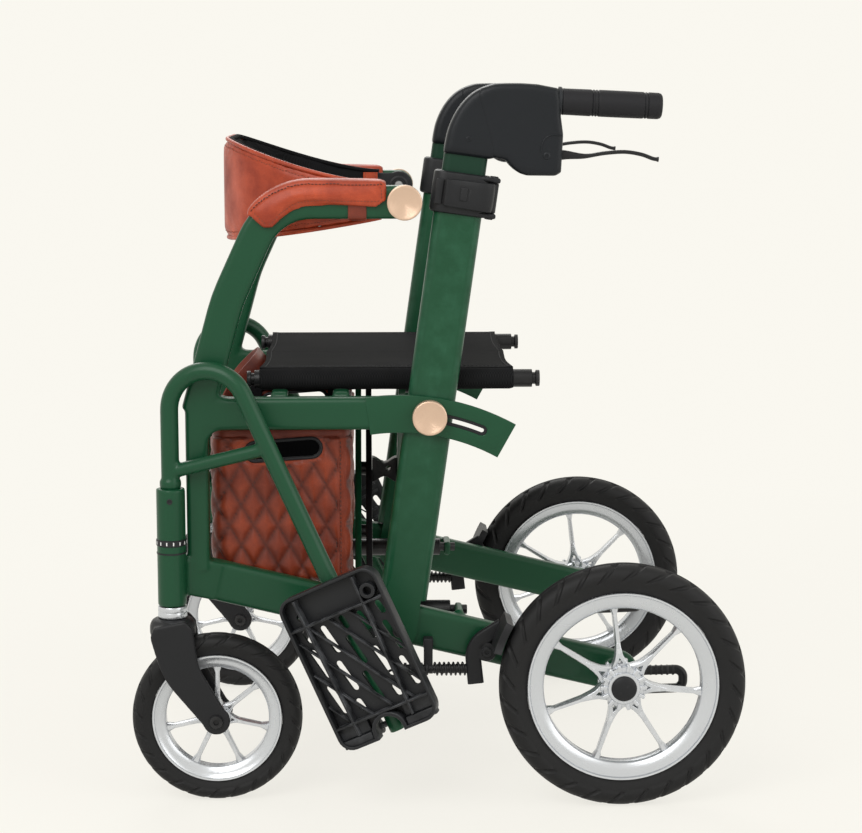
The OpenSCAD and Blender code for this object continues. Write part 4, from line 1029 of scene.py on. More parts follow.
def buildWheel(name, look, nodes, body):
    bm = bmesh.new()
    at, rim, wide, deep = Vector(look["at"]), look["rim"], look["wide"] / 2, look["deep"]
    inner = rim - deep
    lip = [(inner, 0.5), (inner + 1.5, 0.62), (inner + deep * 0.45, 0.8), (rim - 3.4, 0.9), (rim - 2.2, 1.02),
           (rim - 0.2, 1.05), (rim + 0.4, 0.95), (rim - 0.6, 0.7), (rim - 4, 0.5)]
    profile = [(r, wide * h) for r, h in lip] + [(r, -wide * h) for r, h in reversed(lip)]
    rings = []
    for i in range(rimSteps):
        a = 2 * math.pi * i / rimSteps
        rings.append([at + Vector((math.cos(a) * r, h, math.sin(a) * r)) for r, h in profile])
    addLoft(bm, rings, closed=True)
    hub, half = look["hub"], look["hubHalf"]
    face = [(hub * 0.5, half), (hub * 0.75, half), (hub * 0.78, half * 0.95), (hub * 0.8, half * 0.82),
            (hub * 0.97, half * 0.78), (hub, half * 0.7)]
    addTurned(bm, [(r, -h) for r, h in face] + face[::-1], at, alongY, sides=56)
    for i in range(look["teeth"]):
        spin = Matrix.Translation(at) @ Matrix.Rotation(math.radians(360 * i / look["teeth"]), 4, "Y")
        for start, end in ((-half * 0.92, -half * 0.5), (half * 0.5, half * 0.92)):
            addBlock(bm, (hub * 0.78, start, -2.2), (hub * 1.12, end, 2.2), 0.8, matrix=spin)
    root, tip, blade = look["root"], look["tip"], look["blade"]
    for i in range(spokeCount):
        a = 90 - look["turn"] - 360 * i / spokeCount
        addSpokePart(bm, at, polar(hub + look["fork"], a), polar(inner + 2, a), (root * 0.62, tip),
                     (blade, blade * 0.72))
        addSpokePart(bm, at, polar(inner - 9, a), polar(inner + 2, a), (tip, tip * 2.2),
                     (blade * 0.7, blade * 0.9))
        web = spokeWeb(look)
        web.transform(Matrix.Translation(at) @ Matrix.Rotation(math.radians(-a), 4, "Y"))
        joinInto(bm, web)
    makePair(name, bm, body, [rimSilver], "silver_rim", nodes, sharp=40)


buildWheel("rear_spokes", rearWheelLook, ["rear_wheel"], "rear_wheel")
buildWheel("caster_spokes", casterWheelLook, ["caster_wheel"], "caster")

# Tyres: a rounded casing with slanted sipes across the tread and a groove on each side of the middle
rearTyreLook = {"at": rearAxle, "outer": 150, "rim": 116, "wide": 38, "blocks": 28, "groove": 2.0}
casterTyreLook = {"at": casterAxle, "outer": 104, "rim": 79, "wide": 34, "blocks": 24, "groove": 1.6}
treadLook = {"shoulder": 0.45, "slant": -1.3, "perBlock": 10, "cutWide": 2, "line": 0.9, "around": 112}


def tyreSection(look, tread, deep, half, shoulder):
    shape = []
    for i in range(45):
        a = math.radians(-tread["around"] + 2 * tread["around"] * i / 44)
        s, c = math.sin(a), math.cos(a)
        y = half * math.copysign(abs(s) ** 0.86, s)
        if abs(a) > math.pi / 2:
            y = half * math.copysign(0.985 - 0.25 * (abs(a) - math.pi / 2), s)
        r = look["rim"] + deep * (0.5 + 0.5 * math.copysign(abs(c) ** 0.8, c))
        shape.append((r, y if r > shoulder else y * 0.955))
    return shape


def buildTyre(name, look, tread, nodes, body):
    deep, half, at = look["outer"] - look["rim"], look["wide"] / 2, Vector(look["at"])
    shoulder = look["rim"] + deep * tread["shoulder"]
    skin = tyreSection(look, tread, deep, half, shoulder)
    bead = [(look["rim"] + 0.6, half * 0.68), (look["rim"] + 0.6, -half * 0.68)]
    count = look["blocks"] * tread["perBlock"]
    rings = []
    for i in range(count):
        a = 2 * math.pi * i / count
        ring = []
        for j, (r, y) in enumerate(skin + bead):
            across, cut = abs(y) / half, 0
            if j < len(skin) and across > 0.25 and r > shoulder and i % tread["perBlock"] < tread["cutWide"]:
                cut = look["groove"]
            elif j < len(skin) and 0.1 < across < 0.2:
                cut = tread["line"]
            out = Vector((r - look["rim"] - deep * 0.5, y * deep / look["wide"])).normalized()
            turn = a + tread["slant"] * max(0, r - shoulder) / look["outer"]
            r -= cut * out.x
            ring.append(at + Vector((math.cos(turn) * r, y - cut * out.y, math.sin(turn) * r)))
        rings.append(ring)
    bm = bmesh.new()
    addLoft(bm, rings, closed=True)
    makePair(name, bm, body, [tyreRubber], "tyre_rubber", nodes, sharp=28)


buildTyre("rear_tread", rearTyreLook, treadLook, ["rear_tyre"], "rear_wheel")
buildTyre("caster_tread", casterTyreLook, treadLook, ["caster_tyre"], "caster")

# Domed hub caps and the axles behind them
hubLook = {"at": (rearAxle[0], -317.4, rearAxle[2]), "r": 15.5, "lip": 0.6, "rise": 4.34, "pin": 6, "tail": -90}


def buildHubCaps(look):
    r, pin, tail = look["r"], look["pin"], look["tail"]
    profile = [(0, tail), (pin, tail), (pin, -0.4), (r, -0.4)]
    profile += [(r * math.cos(a), look["lip"] + look["rise"] * math.sin(a))
                for a in (math.radians(18 * i) for i in range(6))]
    bm = bmesh.new()
    addTurned(bm, profile, look["at"], outward, sides=40)
    makePair("hub_cap", bm, "frame", [blackPlastic], "black_metal", ["rear_axle"], sharp=40)


buildHubCaps(hubLook)
print("wheels built")

# Caster forks: a crown under the head tube and two broad curved legs, melted together
forkLook = {"voxel": 2.0, "ease": 7, "legY": 24.5, "legWide": 54, "legThick": 9,
            "leg": [(headX - 2, 225), (headX + 10, 166), (headX + 53, 104)], "bend": 80,
            "eye": (17, -4.5, 4.5), "eyeEase": (1.5, 2), "bolt": (8.6, 3.8, 3.4), "boltOut": 28.6,
            "crown": [(24, 203), (28, 208), (28, 219), (25.4, 225.4), (18, 228.4)],
            "collar": [(17.3, 229.2), (17.7, 229.8), (17.7, 235.4), (17.3, 236), (17.3, 236.6), (17.7, 237.2),
                       (17.7, 242.2), (17.3, 242.8)]}


# The leg narrows to the axle, with its top rounded off
def legScale(t):
    return 1.03 - 0.45 * t - 0.3 * max(0, 1 - t / 0.09) ** 2, 1


def buildForks(look):
    bm = bmesh.new()
    x, z = casterAxle[0], casterAxle[2]
    addTurned(bm, look["crown"], (headX, headY, 0), alongZ)
    leg = roundRect(look["legWide"], look["legThick"], 4)
    way = fillWay(wayAlong(look["leg"], [look["bend"]], 6), 9)
    for y in (headY - look["legY"], headY + look["legY"]):
        addBar(bm, way, leg, y, legScale)
        addPin(bm, *look["eye"], (x, y, z), alongY, ease=look["eyeEase"])
    melted = fuseShells(bm, look["voxel"], look["ease"])
    makePair("fork_legs", melted, "fork", [blackPlastic], "black_plastic", ["caster_fork"], sharp=60)
    bm = bmesh.new()
    addTurned(bm, look["collar"], (headX, headY, 0), alongZ)
    for side in (-1, 1):
        addBolt(bm, (x, headY + side * look["boltOut"], z), (0, side, 0), *look["bolt"], material=1)
    makePair("fork_collar", bm, "fork", [rimSilver, blackMetal], "bright_steel", ["caster_axle"], sharp=40)


buildForks(forkLook)

# Brakes: a hooked arm with its shoe, a helical spring, the cable's adjuster and the kerb loop
brakeLook = {"outer": -260.9, "inner": -250.3, "hook": [(-176, 142), (-181, 190), (-144, 214)], "hookBend": 30,
             "hookSection": (19.5, 10.4, 3), "eye": (12, -5.2, 5.2),
             "shoeR": (153.2, 162.6), "shoeFrom": 150.3, "shoeSweep": 14.4, "shoeY": (-309.5, -250.6),
             "springFrom": -228.7, "springLong": 42, "springR": 7.5, "wire": 1.2, "curls": 7, "perCurl": 24,
             "sleeveR": 5.2, "pleat": 0.9, "pleats": 22, "y": -255.5, "z": 160, "adjusterX": -269, "ribs": 5,
             "ribGap": 6.6, "grommet": [(3, 0), (4.4, 0.6), (5, 3), (5, 16)], "grommetAt": (-303, -258.6, 204),
             "bolt": (6.4, 2.6, 2.6), "kerbY": -213.7, "kerbR": 5.8, "kerbBends": [40, 10, 10, 40],
             "kerbRib": (6.5, -1.4, 1.4), "kerbRibs": range(38, 74, 7), "kerbRibZ": 145.1,
             "kerb": [(-30, railZ(-30) - 6), (20, 144), (86, 146), (86, 122), (20, 120), (-10, 128)]}


def buildBrakeHooks(look):
    bm = bmesh.new()
    mid = (look["outer"] + look["inner"]) / 2
    hook = fillWay(wayAlong(look["hook"], [look["hookBend"]], 6), 5)
    addBar(bm, hook, roundRect(*look["hookSection"]), mid, lambda t: (1.02 - 0.12 * t, 1))
    addPin(bm, *look["eye"], (brakePivot.x, mid, brakePivot.y), alongY, ease=(0.6, 1.2))
    rings = []
    outerY, innerY = look["shoeY"]
    for i in range(11):
        a = look["shoeFrom"] + look["shoeSweep"] * i / 10
        near, far = (polar(r, a) + Vector((0, rearAxle[2])) for r in look["shoeR"])
        rings.append([Vector((near.x, outerY, near.y)), Vector((near.x, innerY, near.y)),
                      Vector((far.x, innerY, far.y)), Vector((far.x, outerY, far.y))])
    addLoft(bm, rings)
    addBolt(bm, (brakePivot.x, look["outer"] + 0.2, brakePivot.y), outward, *look["bolt"])
    makePair("brake_hook", bm, "brake_arm", [blackPlastic], "black_plastic", ["brake_arm"], sharp=40)


def buildSprings(look):
    bm = bmesh.new()
    steps = look["curls"] * look["perCurl"]
    coil = []
    for i in range(steps + 1):
        a = 2 * math.pi * i / look["perCurl"]
        coil.append((look["springFrom"] + look["wire"] + (look["springLong"] - 2 * look["wire"]) * i / steps,
                     look["y"] + look["springR"] * math.cos(a), look["z"] + look["springR"] * math.sin(a)))
    addTube(bm, coil, look["wire"], sides=8)
    pleats = look["pleats"]
    sleeve = [(look["sleeveR"] + look["pleat"] * (i % 2), i * look["springLong"] / pleats)
              for i in range(pleats + 1)]
    addTurned(bm, sleeve, (look["springFrom"], look["y"], look["z"]), alongX, sides=20)
    coils = makePair("spring_coil", bm, "frame", [blackMetal], "black_metal", ["brake_spring"], sharp=60)
    for piece, side, sign in zip(coils, ("left", "right"), (1, -1)):
        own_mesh(piece)


def buildAdjusters(look):
    bm = bmesh.new()
    profile = [(0, 0), (3.4, 0), (4.4, 2)]
    for at in (4 + i * look["ribGap"] for i in range(look["ribs"])):
        profile += [(5.6, at), (7.8, at + 0.8), (7.8, at + 3.6), (5.6, at + 4.4)]
    profile += [(6, 37), (6, 40), (0, 40)]
    addTurned(bm, profile, (look["adjusterX"], look["y"], look["z"]), alongX, sides=28)
    addBlock(bm, (-240, -258.5, 164), (-229, -252.5, 198), 1.2)
    addBlock(bm, (-240.6, -258.0, 186), (-228.4, -242.2, 198.4), 1.6)
    addTurned(bm, look["grommet"], look["grommetAt"], alongY, sides=24)
    makePair("cable_adjuster", bm, "frame", [blackPlastic], "black_plastic", ["brake_cable"], sharp=40)


def buildKerbLoops(look):
    bm = bmesh.new()
    loop = fillWay(wayAlong(look["kerb"], look["kerbBends"], 8), 8)
    addTube(bm, [(x, look["kerbY"], z) for x, z, h in loop], look["kerbR"], sides=16)
    for x in look["kerbRibs"]:
        addPin(bm, *look["kerbRib"], (x, look["kerbY"], look["kerbRibZ"]), (1, 0, 0.03), sides=20, ease=(0.5, 0.6))
    makePair("kerb_loop", bm, "frame", [blackMetal], "black_metal", ["kerb_pedal"], sharp=45)


for build in (buildBrakeHooks, buildSprings, buildAdjusters, buildKerbLoops):
    build(brakeLook)
print("forks and brakes built")

# Footrests: an arched tube with a rung, welded, and a ribbed plate on its lower end
footLook = {"r": 11, "rung": 8.5, "bend": 49, "from": 389.5, "peak": 700, "end": (283, 105), "splay": -14, "lift": 12,
            "rungLine": [(2, 0, 408), (62, 0, 424.3), (123.7, 0, 441)], "spigot": (10.9, 331, 392),
            "collar": [(11.4, 388.4), (13, 389.2), (13, 397.4), (11.4, 398.6)], "voxel": 1.8, "ease": 3}
footTurn = Matrix.Translation((headX, headY, 0)) @ Matrix.Rotation(math.radians(footLook["splay"]), 4, "Z")


def plateTurn(look):
    x, z = look["end"]
    slope = math.atan2(x, look["peak"] - z)
    place = (x - look["lift"] * math.sin(slope), 0, z + look["lift"] * math.cos(slope))
    return footTurn @ Matrix.Translation(place) @ Matrix.Rotation(-slope, 4, "Y")


def buildFootTubes(look):
    bm = bmesh.new()
    way = fillWay(wayAlong([(0, look["from"]), (0, look["peak"]), look["end"]], [look["bend"]], 5), 12)
    addTube(bm, [(x, 0, z) for x, z, h in way], look["r"], sides=28)
    addTube(bm, look["rungLine"], look["rung"], sides=24)
    addTurned(bm, look["collar"], (0, 0, 0), alongZ)
    addPin(bm, *look["spigot"], (0, 0, 0), alongZ)
    melted = fuseShells(bm, look["voxel"], look["ease"])
    melted.transform(footTurn)
    makePair("foot_arch", melted, "footrest", [greenPaint], "frame_green", ["footrest_tube"], sharp=60)


buildFootTubes(footLook)

# Each column of slots is (height, length), in turn
plateLook = {"wide": 130, "long": 188, "below": 10, "round": 18, "tread": -13, "floor": -17.6, "rim": -33,
             "notch": 17, "notchHigh": 24, "slot": 7.6, "lean": 10.6, "column": 24.5, "bossZ": 160, "hinge": 7,
             "holeR": 5, "bossR": (9.4, 5.2), "inside": 62, "ribs": ((-38, -43), (34, 36)), "ribZ": (4, 182),
             "crossRibs": (20, 148), "slant": 86, "slants": range(-42, 125, 28), "treads": range(30, 170, 12),
             "knuckle": (9, -7, 7), "axle": (3.8, -24, 24),
             "slots": (((52, 40), (99, 40), (135, 18)), ((36, 16), (74, 42), (122, 38)))}


def slantSlot(x, z, w, h, lean):
    points = arc((0, h / 2 - w / 2), w / 2, 180, 0, 7) + arc((0, w / 2 - h / 2), w / 2, 0, -180, 7)
    turn = Matrix.Rotation(math.radians(lean), 2)
    return [turn @ p + Vector((x, z)) for p in points]


def plateOutline(look, inset, notchGrow):
    half, r = look["wide"] / 2 - inset, look["round"] - inset
    low, high = inset - look["below"], look["long"] - inset
    notch, top = look["notch"] + notchGrow, look["notchHigh"] - look["below"] + notchGrow
    points = []
    for x, z, start in ((half - r, low + r, -90), (half - r, high - r, 0), (r - half, high - r, 90),
                        (r - half, low + r, 180)):
        points += arc((x, z), r, start, start + 90, 6)
    points += [Vector((-notch, low)), Vector((-notch, top - notch))]
    points += arc((0, top - notch), notch, 160, 20, 7)
    return points + [Vector((notch, top - notch)), Vector((notch, low))]


def addRib(bm, a, b, wide, low, high):
    a, b = Vector(a), Vector(b)
    across = Vector((-(b - a).y, (b - a).x)).normalized() * wide / 2
    addPlate(bm, [a + across, b + across, b - across, a - across], low, high, bevel=min(0.8, wide * 0.3))


def nearSlot(look, slot, x, z):
    d = Matrix.Rotation(math.radians(-look["lean"]), 2) @ Vector((x - slot[0], z - slot[1]))
    return abs(d.x) < look["slot"] / 2 + 1 and abs(d.y) < slot[2] / 2 + 1


def buildFootplates(look):
    bm = bmesh.new()
    tread, floor, rim = look["tread"], look["floor"], look["rim"]
    slots = [(look["column"] * (i - 2), z, long) for i in range(5) for z, long in look["slots"][i % 2]]
    holes = [slantSlot(x, z, look["slot"], long, look["lean"]) for x, z, long in slots]
    corner = look["wide"] / 2 - look["round"]
    holes.append(circle((-corner, look["bossZ"]), look["holeR"], 12))
    addPlate(bm, plateOutline(look, 0.4, 0), floor, tread, holes, bevel=0.8)
    addPlate(bm, plateOutline(look, 0, 0), rim, tread - 1, [plateOutline(look, 4, 5)], bevel=1.4)
    ribLow, ribHigh, inside, slant = rim + 1, floor + 0.6, look["inside"], look["slant"]
    for ends in look["ribs"]:
        addRib(bm, *zip(ends, look["ribZ"]), 2.8, ribLow, ribHigh)
    for z in look["crossRibs"]:
        addRib(bm, (-inside, z), (inside, z), 2.6, ribLow, ribHigh)
    for left, right in ((-inside, -23), (23, inside)):
        addBlock(bm, (left, rim + 3, -7), (right, floor + 0.5, 3), 1.6)
        addBlock(bm, (left, rim + 8, 3), (right, floor + 0.5, 20), 1.6)
    boss = [circle((corner, look["bossZ"]), r, 18) for r in look["bossR"]]
    addPlate(bm, boss[0], ribLow, ribHigh, [boss[1]], bevel=0.7)
    for c in look["slants"]:
        a, b = (Vector(p) for p in zip((c, c - slant), look["crossRibs"]))
        start, end = max(0, (c - inside + 1) / slant), min(1, (c + inside - 1) / slant)
        if end - start > 0.1:
            addRib(bm, a.lerp(b, start), a.lerp(b, end), 1.9, rim + 8, ribHigh)
    for x in (-look["notch"] - look["hinge"], look["notch"] + look["hinge"]):
        addPin(bm, *look["knuckle"], (x, 0, 0), alongX, sides=28, ease=(0.8, 1))
        addBlock(bm, (x - 6.6, -16, -8), (x + 6.6, 0, 8), 1.6)
    addPin(bm, *look["axle"], (0, 0, 0), alongX, sides=20)
    for z in look["treads"]:
        def clear(x):
            return not any(nearSlot(look, slot, x, z + dz) for slot in slots for dz in (-2, 2))

        for run in keptRuns(range(-56, 57, 2), clear):
            addRib(bm, (run[0], z), (run[-1], z), 4, tread - 1, tread + 0.9)
    bm.transform(plateTurn(footLook))
    makePair("foot_tread", bm, "footplate", [plateBlack], "black_plastic", ["footplate"], sharp=36)


buildFootplates(plateLook)
print("footrests built")

# X-brace: twin drilled straps, their lower rods, the seat tubes and a waisted casting between them
braceLook = {"foot": (-190, 219), "top": (195, 512), "frontX": -313, "rearX": -258, "thick": 22, "strap": 8,
             "end": 14, "holes": 12, "holeR": 5.5, "clear": 22, "spacerR": 9, "rod": (6, -356, -184),
             "bush": (12, -335, -205), "rests": (-415, -340), "waist": (16, 7.5), "tubeX": -275.5,
             "tube": [(9.6, 179.9), (10, 179.1), (10, 175.5), (7.4, 174.5), (7.4, 171.1), (10.9, 170.5),
                      (11, 169.5)]}


def buildBraces(look):
    foot, top = Vector(look["foot"]), Vector(look["top"])
    run, lean = (top - foot).length, math.atan2(top.y - foot.y, top.x - foot.x)
    c, s, half = math.cos(lean), math.sin(lean), look["thick"] / 2
    outline = arc((0, 0), look["end"], 90, 270, 10) + arc((run - 15, 0), look["end"], -90, 90, 10)
    stations = [run * (i + 1) / (look["holes"] + 1) for i in range(look["holes"])]
    holes = [circle((x, 0), look["holeR"], 12) for x in stations if abs(x - run / 2) > look["clear"]]
    for side, barX in (("left", look["frontX"]), ("right", look["rearX"])):
        bm = bmesh.new()
        addPlate(bm, outline, -half, look["strap"] - half, holes, bevel=1.6, material=1)
        addPlate(bm, outline, half - look["strap"], half, holes, bevel=1.6)
        for x in (18, run * 0.27, run / 2, run * 0.73, run - 18):
            addPin(bm, look["spacerR"], 1 - half, half - 1, (x, 0, 0), alongY, sides=24)
        bm.transform(Matrix(((0, 1, 0, barX), (c, 0, -s, foot.x), (s, 0, c, foot.y), (0, 0, 0, 1))))
        addPin(bm, *look["rod"], (0, foot.x, foot.y), alongX, sides=24, ease=(0.6, 1))
        addPin(bm, *look["bush"], (0, foot.x, foot.y), alongX, sides=32, ease=(1, 1))
        tube = [(r, -h) for r, h in look["tube"]] + look["tube"][::-1]
        addTurned(bm, tube, (look["tubeX"], top.x, top.y), alongX, sides=40)
        for x in look["rests"]:
            addBlock(bm, (x - 8, top.x - 7, top.y - 15), (x + 8, top.x + 7, top.y - 8), 2)
        makeSingle(side + "_brace_bar", bm, side + "_brace", [blackMetal, greenPaint], "black_metal",
                   [side + "_brace"], side == "right", 40)
    middle = Vector(((look["frontX"] + look["rearX"]) / 2, (foot.y + top.y) / 2))
    reach = (look["rearX"] - look["frontX"]) / 2 - half - 0.2
    high, dip = look["waist"]
    waist = [Vector((reach * u, high - dip * math.cos(u * math.pi / 2) ** 2))
             for u in (-1, -0.8, -0.6, -0.3, 0, 0.3, 0.6, 0.8, 1)]
    bow = [middle + p for p in waist] + [middle - p for p in waist]
    bm = bmesh.new()
    addPlate(bm, bow, -11, 11, [circle(middle + Vector((5, 2)), 3.4, 12)], bevel=2)
    makeSingle("brace_casting", bm, "left_brace", [blackMetal], "bright_steel", ["brace_axle"])


buildBraces(braceLook)

# Seat: two cloth halves, each rolled round its tube and sagging a little to the middle
slingLook = {"front": -440, "long": 312, "tubeY": -195, "tubeZ": 512, "tubeR": 11, "thick": 2.2, "over": 1.9,
             "sag": 3.6, "hem": 9, "bow": 3.0, "rows": 64, "columns": 40, "sides": 28, "seam": (16, 0.082),
             "hemStitch": (5, 3.2, 0.45), "seamStitch": (5, 3.2, 0.5)}


def slingHeight(look, u, v):
    ripple = 0.5 * noise.noise(Vector((u * 5, v * 3, 0.4))) * math.sin(math.pi * v)
    edge = 1.2 * math.exp(-min(u, 1 - u) * 26) * math.sin(math.pi * v)
    over = look["tubeZ"] + look["tubeR"] + look["over"]
    return over - look["sag"] * math.sin(v * math.pi / 2) + ripple - edge


def slingX(look, u, v):
    return look["front"] + look["long"] * u + look["bow"] * math.sin(math.pi * v) * (1 - 2 * u)


def addSlingCloth(bm, look):
    rings = []
    for u in (i / look["rows"] for i in range(look["rows"] + 1)):
        line = []
        for v in (j / look["columns"] for j in range(look["columns"] + 1)):
            line.append(Vector((slingX(look, u, v), look["tubeY"] * (1 - v) - 0.3 * v, slingHeight(look, u, v))))
        hem = 0.35 if min(u, 1 - u) < look["hem"] / look["long"] else 0
        lift = Vector((0, 0, look["thick"] / 2 + hem))
        rings.append([p + lift for p in line] + [p - lift for p in reversed(line)])
    addLoft(bm, rings)
    for u in (0.02, 0.98):
        hem = [(slingX(look, u, v), look["tubeY"] * (1 - v), slingHeight(look, u, v) + look["thick"] / 2)
               for v in (j / 40 for j in range(2, 40))]
        addStitches(bm, hem, (0, 0, 0.65), *look["hemStitch"], material=1)


def addSlingRoll(bm, look):
    rings = []
    for i in range(look["rows"] + 1):
        u, ring = i / look["rows"], []
        for a in (360 * j / look["sides"] for j in range(look["sides"])):
            swell = 0.5 * noise.noise(Vector((u * 7, math.cos(math.radians(a)), math.sin(math.radians(a)))))
            p = polar(look["tubeR"] + (2.2 if 0 < i < look["rows"] else 1.0) + swell + (0.8 if a > 300 else 0), a)
            ring.append(Vector((look["front"] + look["long"] * u, look["tubeY"] + p.x, look["tubeZ"] + p.y)))
        rings.append(ring)
    addLoft(bm, rings)
    off, v = look["seam"]
    seam = [(look["front"] + look["long"] * u, look["tubeY"] + off, slingHeight(look, u, v) + look["thick"] / 2)
            for u in (i / 40 for i in range(41))]
    addStitches(bm, seam, (0, 0, 0.4), *look["seamStitch"], material=1)


def buildSlings(look):
    made = []
    swapped = {"left": "right_brace", "right": "left_brace"}
    for name, add, nodes in (("seat_cloth", addSlingCloth, ["seat_sling"]), ("seat_roll", addSlingRoll, [])):
        bm = bmesh.new()
        add(bm, look)
        made.append(makePair(name, bm, "", [slingCloth, threadBlack], "black_fabric", nodes, sharp=60,
                             keepBodies=swapped))
    for cloth, sleeve, tube, sign in zip(*made, ("right_brace_bar", "left_brace_bar"), (1, -1)):
        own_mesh(cloth)


buildSlings(slingLook)
print("brace and seat built")

# Bag: a lofted shell with a diamond quilt, a sagging mouth and floor, hand slots and a carrying strap
bagLook = {"x": -414.3, "long": 168, "wide": 430.4, "round": 18, "low": 257, "high": 452, "wall": 4.2, "puff": 4.8,
           "flat": 0.2, "cell": (30, 51), "seamX": -344, "mouth": (-411, 427), "slot": (90, 21), "tilt": 4,
           "gap": 2.6, "top": 0.954, "floorLift": 1.5, "tuck": (9, 12), "bead": 2.3, "beadOut": 1.4, "thread": 0.42,
           "slackEnd": 2.4, "slackSide": 6.0, "mouthSag": 9.0, "strapWide": 24, "strapThick": 2.6,
           "strapFace": (0.75, 0, 0.65), "quiltX": -78, "seamRows": (-2.6, 3.0), "seamStitch": (5.2, 3.4, 0.5),
           "strap": [(-495, -92, 424), (-495.5, -90, 446), (-486, -84, 472), (-461, -70, 500), (-447, -40, 514),
                     (-445, 0, 516), (-447, 40, 514), (-461, 70, 500), (-486, 84, 472), (-495.5, 90, 446),
                     (-495, 92, 424)]}


# Fills a row of (point, normal) with steps of about the gap
def denser(spots, gap):
    out = []
    for (p, n), (q, m) in zip(spots, spots[1:]):
        count = max(1, round((q - p).length / gap))
        out += [(p.lerp(q, k / count), n.lerp(m, k / count)) for k in range(count)]
    return out


def planLoop(look):
    w, h, r = look["long"] / 2, look["wide"] / 2, look["round"]
    spots = []
    for cx, cy, start in ((w - r, h - r, 0), (r - w, h - r, 90), (r - w, r - h, 180), (w - r, r - h, 270)):
        for i in range(9):
            n = polar(1, start + 90 * i / 8)
            spots.append((Vector((cx, cy)) + n * r, n))
    return denser(spots + spots[:1], look["gap"])


# A point of the wall: w is its share of the height, off how far it stands out
def bagPoint(look, p, n, w, off):
    lx, ly = p.x / (look["long"] / 2), p.y / (look["wide"] / 2)
    end = abs(n.y) ** 2
    slack = look["slackEnd"] * (1 - lx * lx) * end + look["slackSide"] * (1 - ly * ly) * (1 - end)
    pull = math.sin(math.pi * min(1, w * 0.9 + 0.05)) * slack
    high = look["high"] - look["mouthSag"] * (1 - ly * ly) * (1 - end)
    low = look["low"] + look["floorLift"]
    sag = 1.2 * noise.noise(Vector((p.x / 60, p.y / 60, w * 3)))
    at = p + n * (off - pull + sag * (1 - end))
    return Vector((at.x + look["x"], at.y, low + (high - low) * w))


def endPoint(look, sign, x, w, off):
    return bagPoint(look, Vector((x, sign * look["wide"] / 2)), Vector((0, sign)), w, off)


# The ends have no quilting behind their seam and round the hand slot
def isPlain(look, x, z, n):
    return abs(n.y) > 0.7 and (x > look["seamX"] + 2 or insideSlot(look, x, z, 7))


def quilt(look, s, z):
    a = math.sin(math.pi * (s / look["cell"][0] + z / look["cell"][1]))
    b = math.sin(math.pi * (s / look["cell"][0] - z / look["cell"][1]))
    return min(abs(a), abs(b)) ** 0.55


def slotOutline(look, grow):
    half, r = look["slot"][0] / 2 - look["slot"][1] / 2, look["slot"][1] / 2 + grow
    points = arc((half, 0), r, -90, 90, 12) + arc((-half, 0), r, 90, 270, 12)
    return [Matrix.Rotation(math.radians(look["tilt"]), 2) @ p + Vector(look["mouth"]) for p in points]


def insideSlot(look, x, z, grow):
    d = Matrix.Rotation(math.radians(-look["tilt"]), 2) @ (Vector((x, z)) - Vector(look["mouth"]))
    half = look["slot"][0] / 2 - look["slot"][1] / 2
    return math.hypot(max(abs(d.x) - half, 0), d.y) < look["slot"][1] / 2 + grow


# Lining, rim, quilted wall and floor as one skin, with the depth of the quilting kept at each point for the painted
# shade in its valleys
def addBagShell(bm, look, loop, along, stretch):
    valley = bm.verts.layers.float.new("valley")
    low, height, wall = look["low"], look["high"] - look["low"], look["wall"]
    rings = []
    for shrink in (0.12, 0.5, 0.85, 0.97):
        dip = Vector((0, 0, 3 * (1 - shrink)))
        rings.append([bagPoint(look, p * shrink, n, 0.035, -wall * shrink) - dip for p, n in loop])
    for w in (0.06, 0.2, 0.4, 0.6, 0.8, 0.95, 0.995):
        rings.append([bagPoint(look, p, n, w, -wall) for p, n in loop])
    for off, w in ((-wall * 0.6, 1.004), (-0.4, 1.006), (0.9, 0.995), (1.0, 0.96), (0.0, look["top"])):
        rings.append([bagPoint(look, p, n, w, off) for p, n in loop])
    depths = [0.0] * len(rings) * len(loop)
    rows = round(height / look["gap"])
    tuck, tuckHigh = look["tuck"]
    for w in (look["top"] * (1 - i / rows) for i in range(1, rows)):
        z = low + w * height
        inward = tuck * max(0, 1 - w * height / tuckHigh) ** 2
        ring = []
        for (p, n), s in zip(loop, along):
            plain = isPlain(look, p.x + look["x"], z, n)
            rise = look["flat"] if plain else quilt(look, s * stretch, z)
            depths.append(0.0 if plain else max(0, 0.95 - rise))
            ring.append(bagPoint(look, p, n, w, look["puff"] * rise - inward))
        rings.append(ring)
    for shrink in (0.93, 0.8, 0.5, 0.12):
        dip = Vector((0, 0, 1 + 3 * (1 - shrink)))
        rings.append([bagPoint(look, p * shrink, n, 0.0, -3) - dip for p, n in loop])
    made = addLoft(bm, rings)
    for v, depth in zip(bm.verts, depths):
        v[valley] = depth
    count = len(loop)
    for i, finish in enumerate([1] * 10 + [2] * 6):
        for f in made[i * count:(i + 1) * count]:
            f.material_index = finish
    for f in made[-2:]:
        f.material_index = 1
    holed = []
    for f in bm.faces:
        c = f.calc_center_median()
        if abs(c.y) > look["wide"] / 2 - 9 and insideSlot(look, c.x, c.z, look["beadOut"]):
            holed.append(f)
    bmesh.ops.delete(bm, geom=holed, context="FACES")


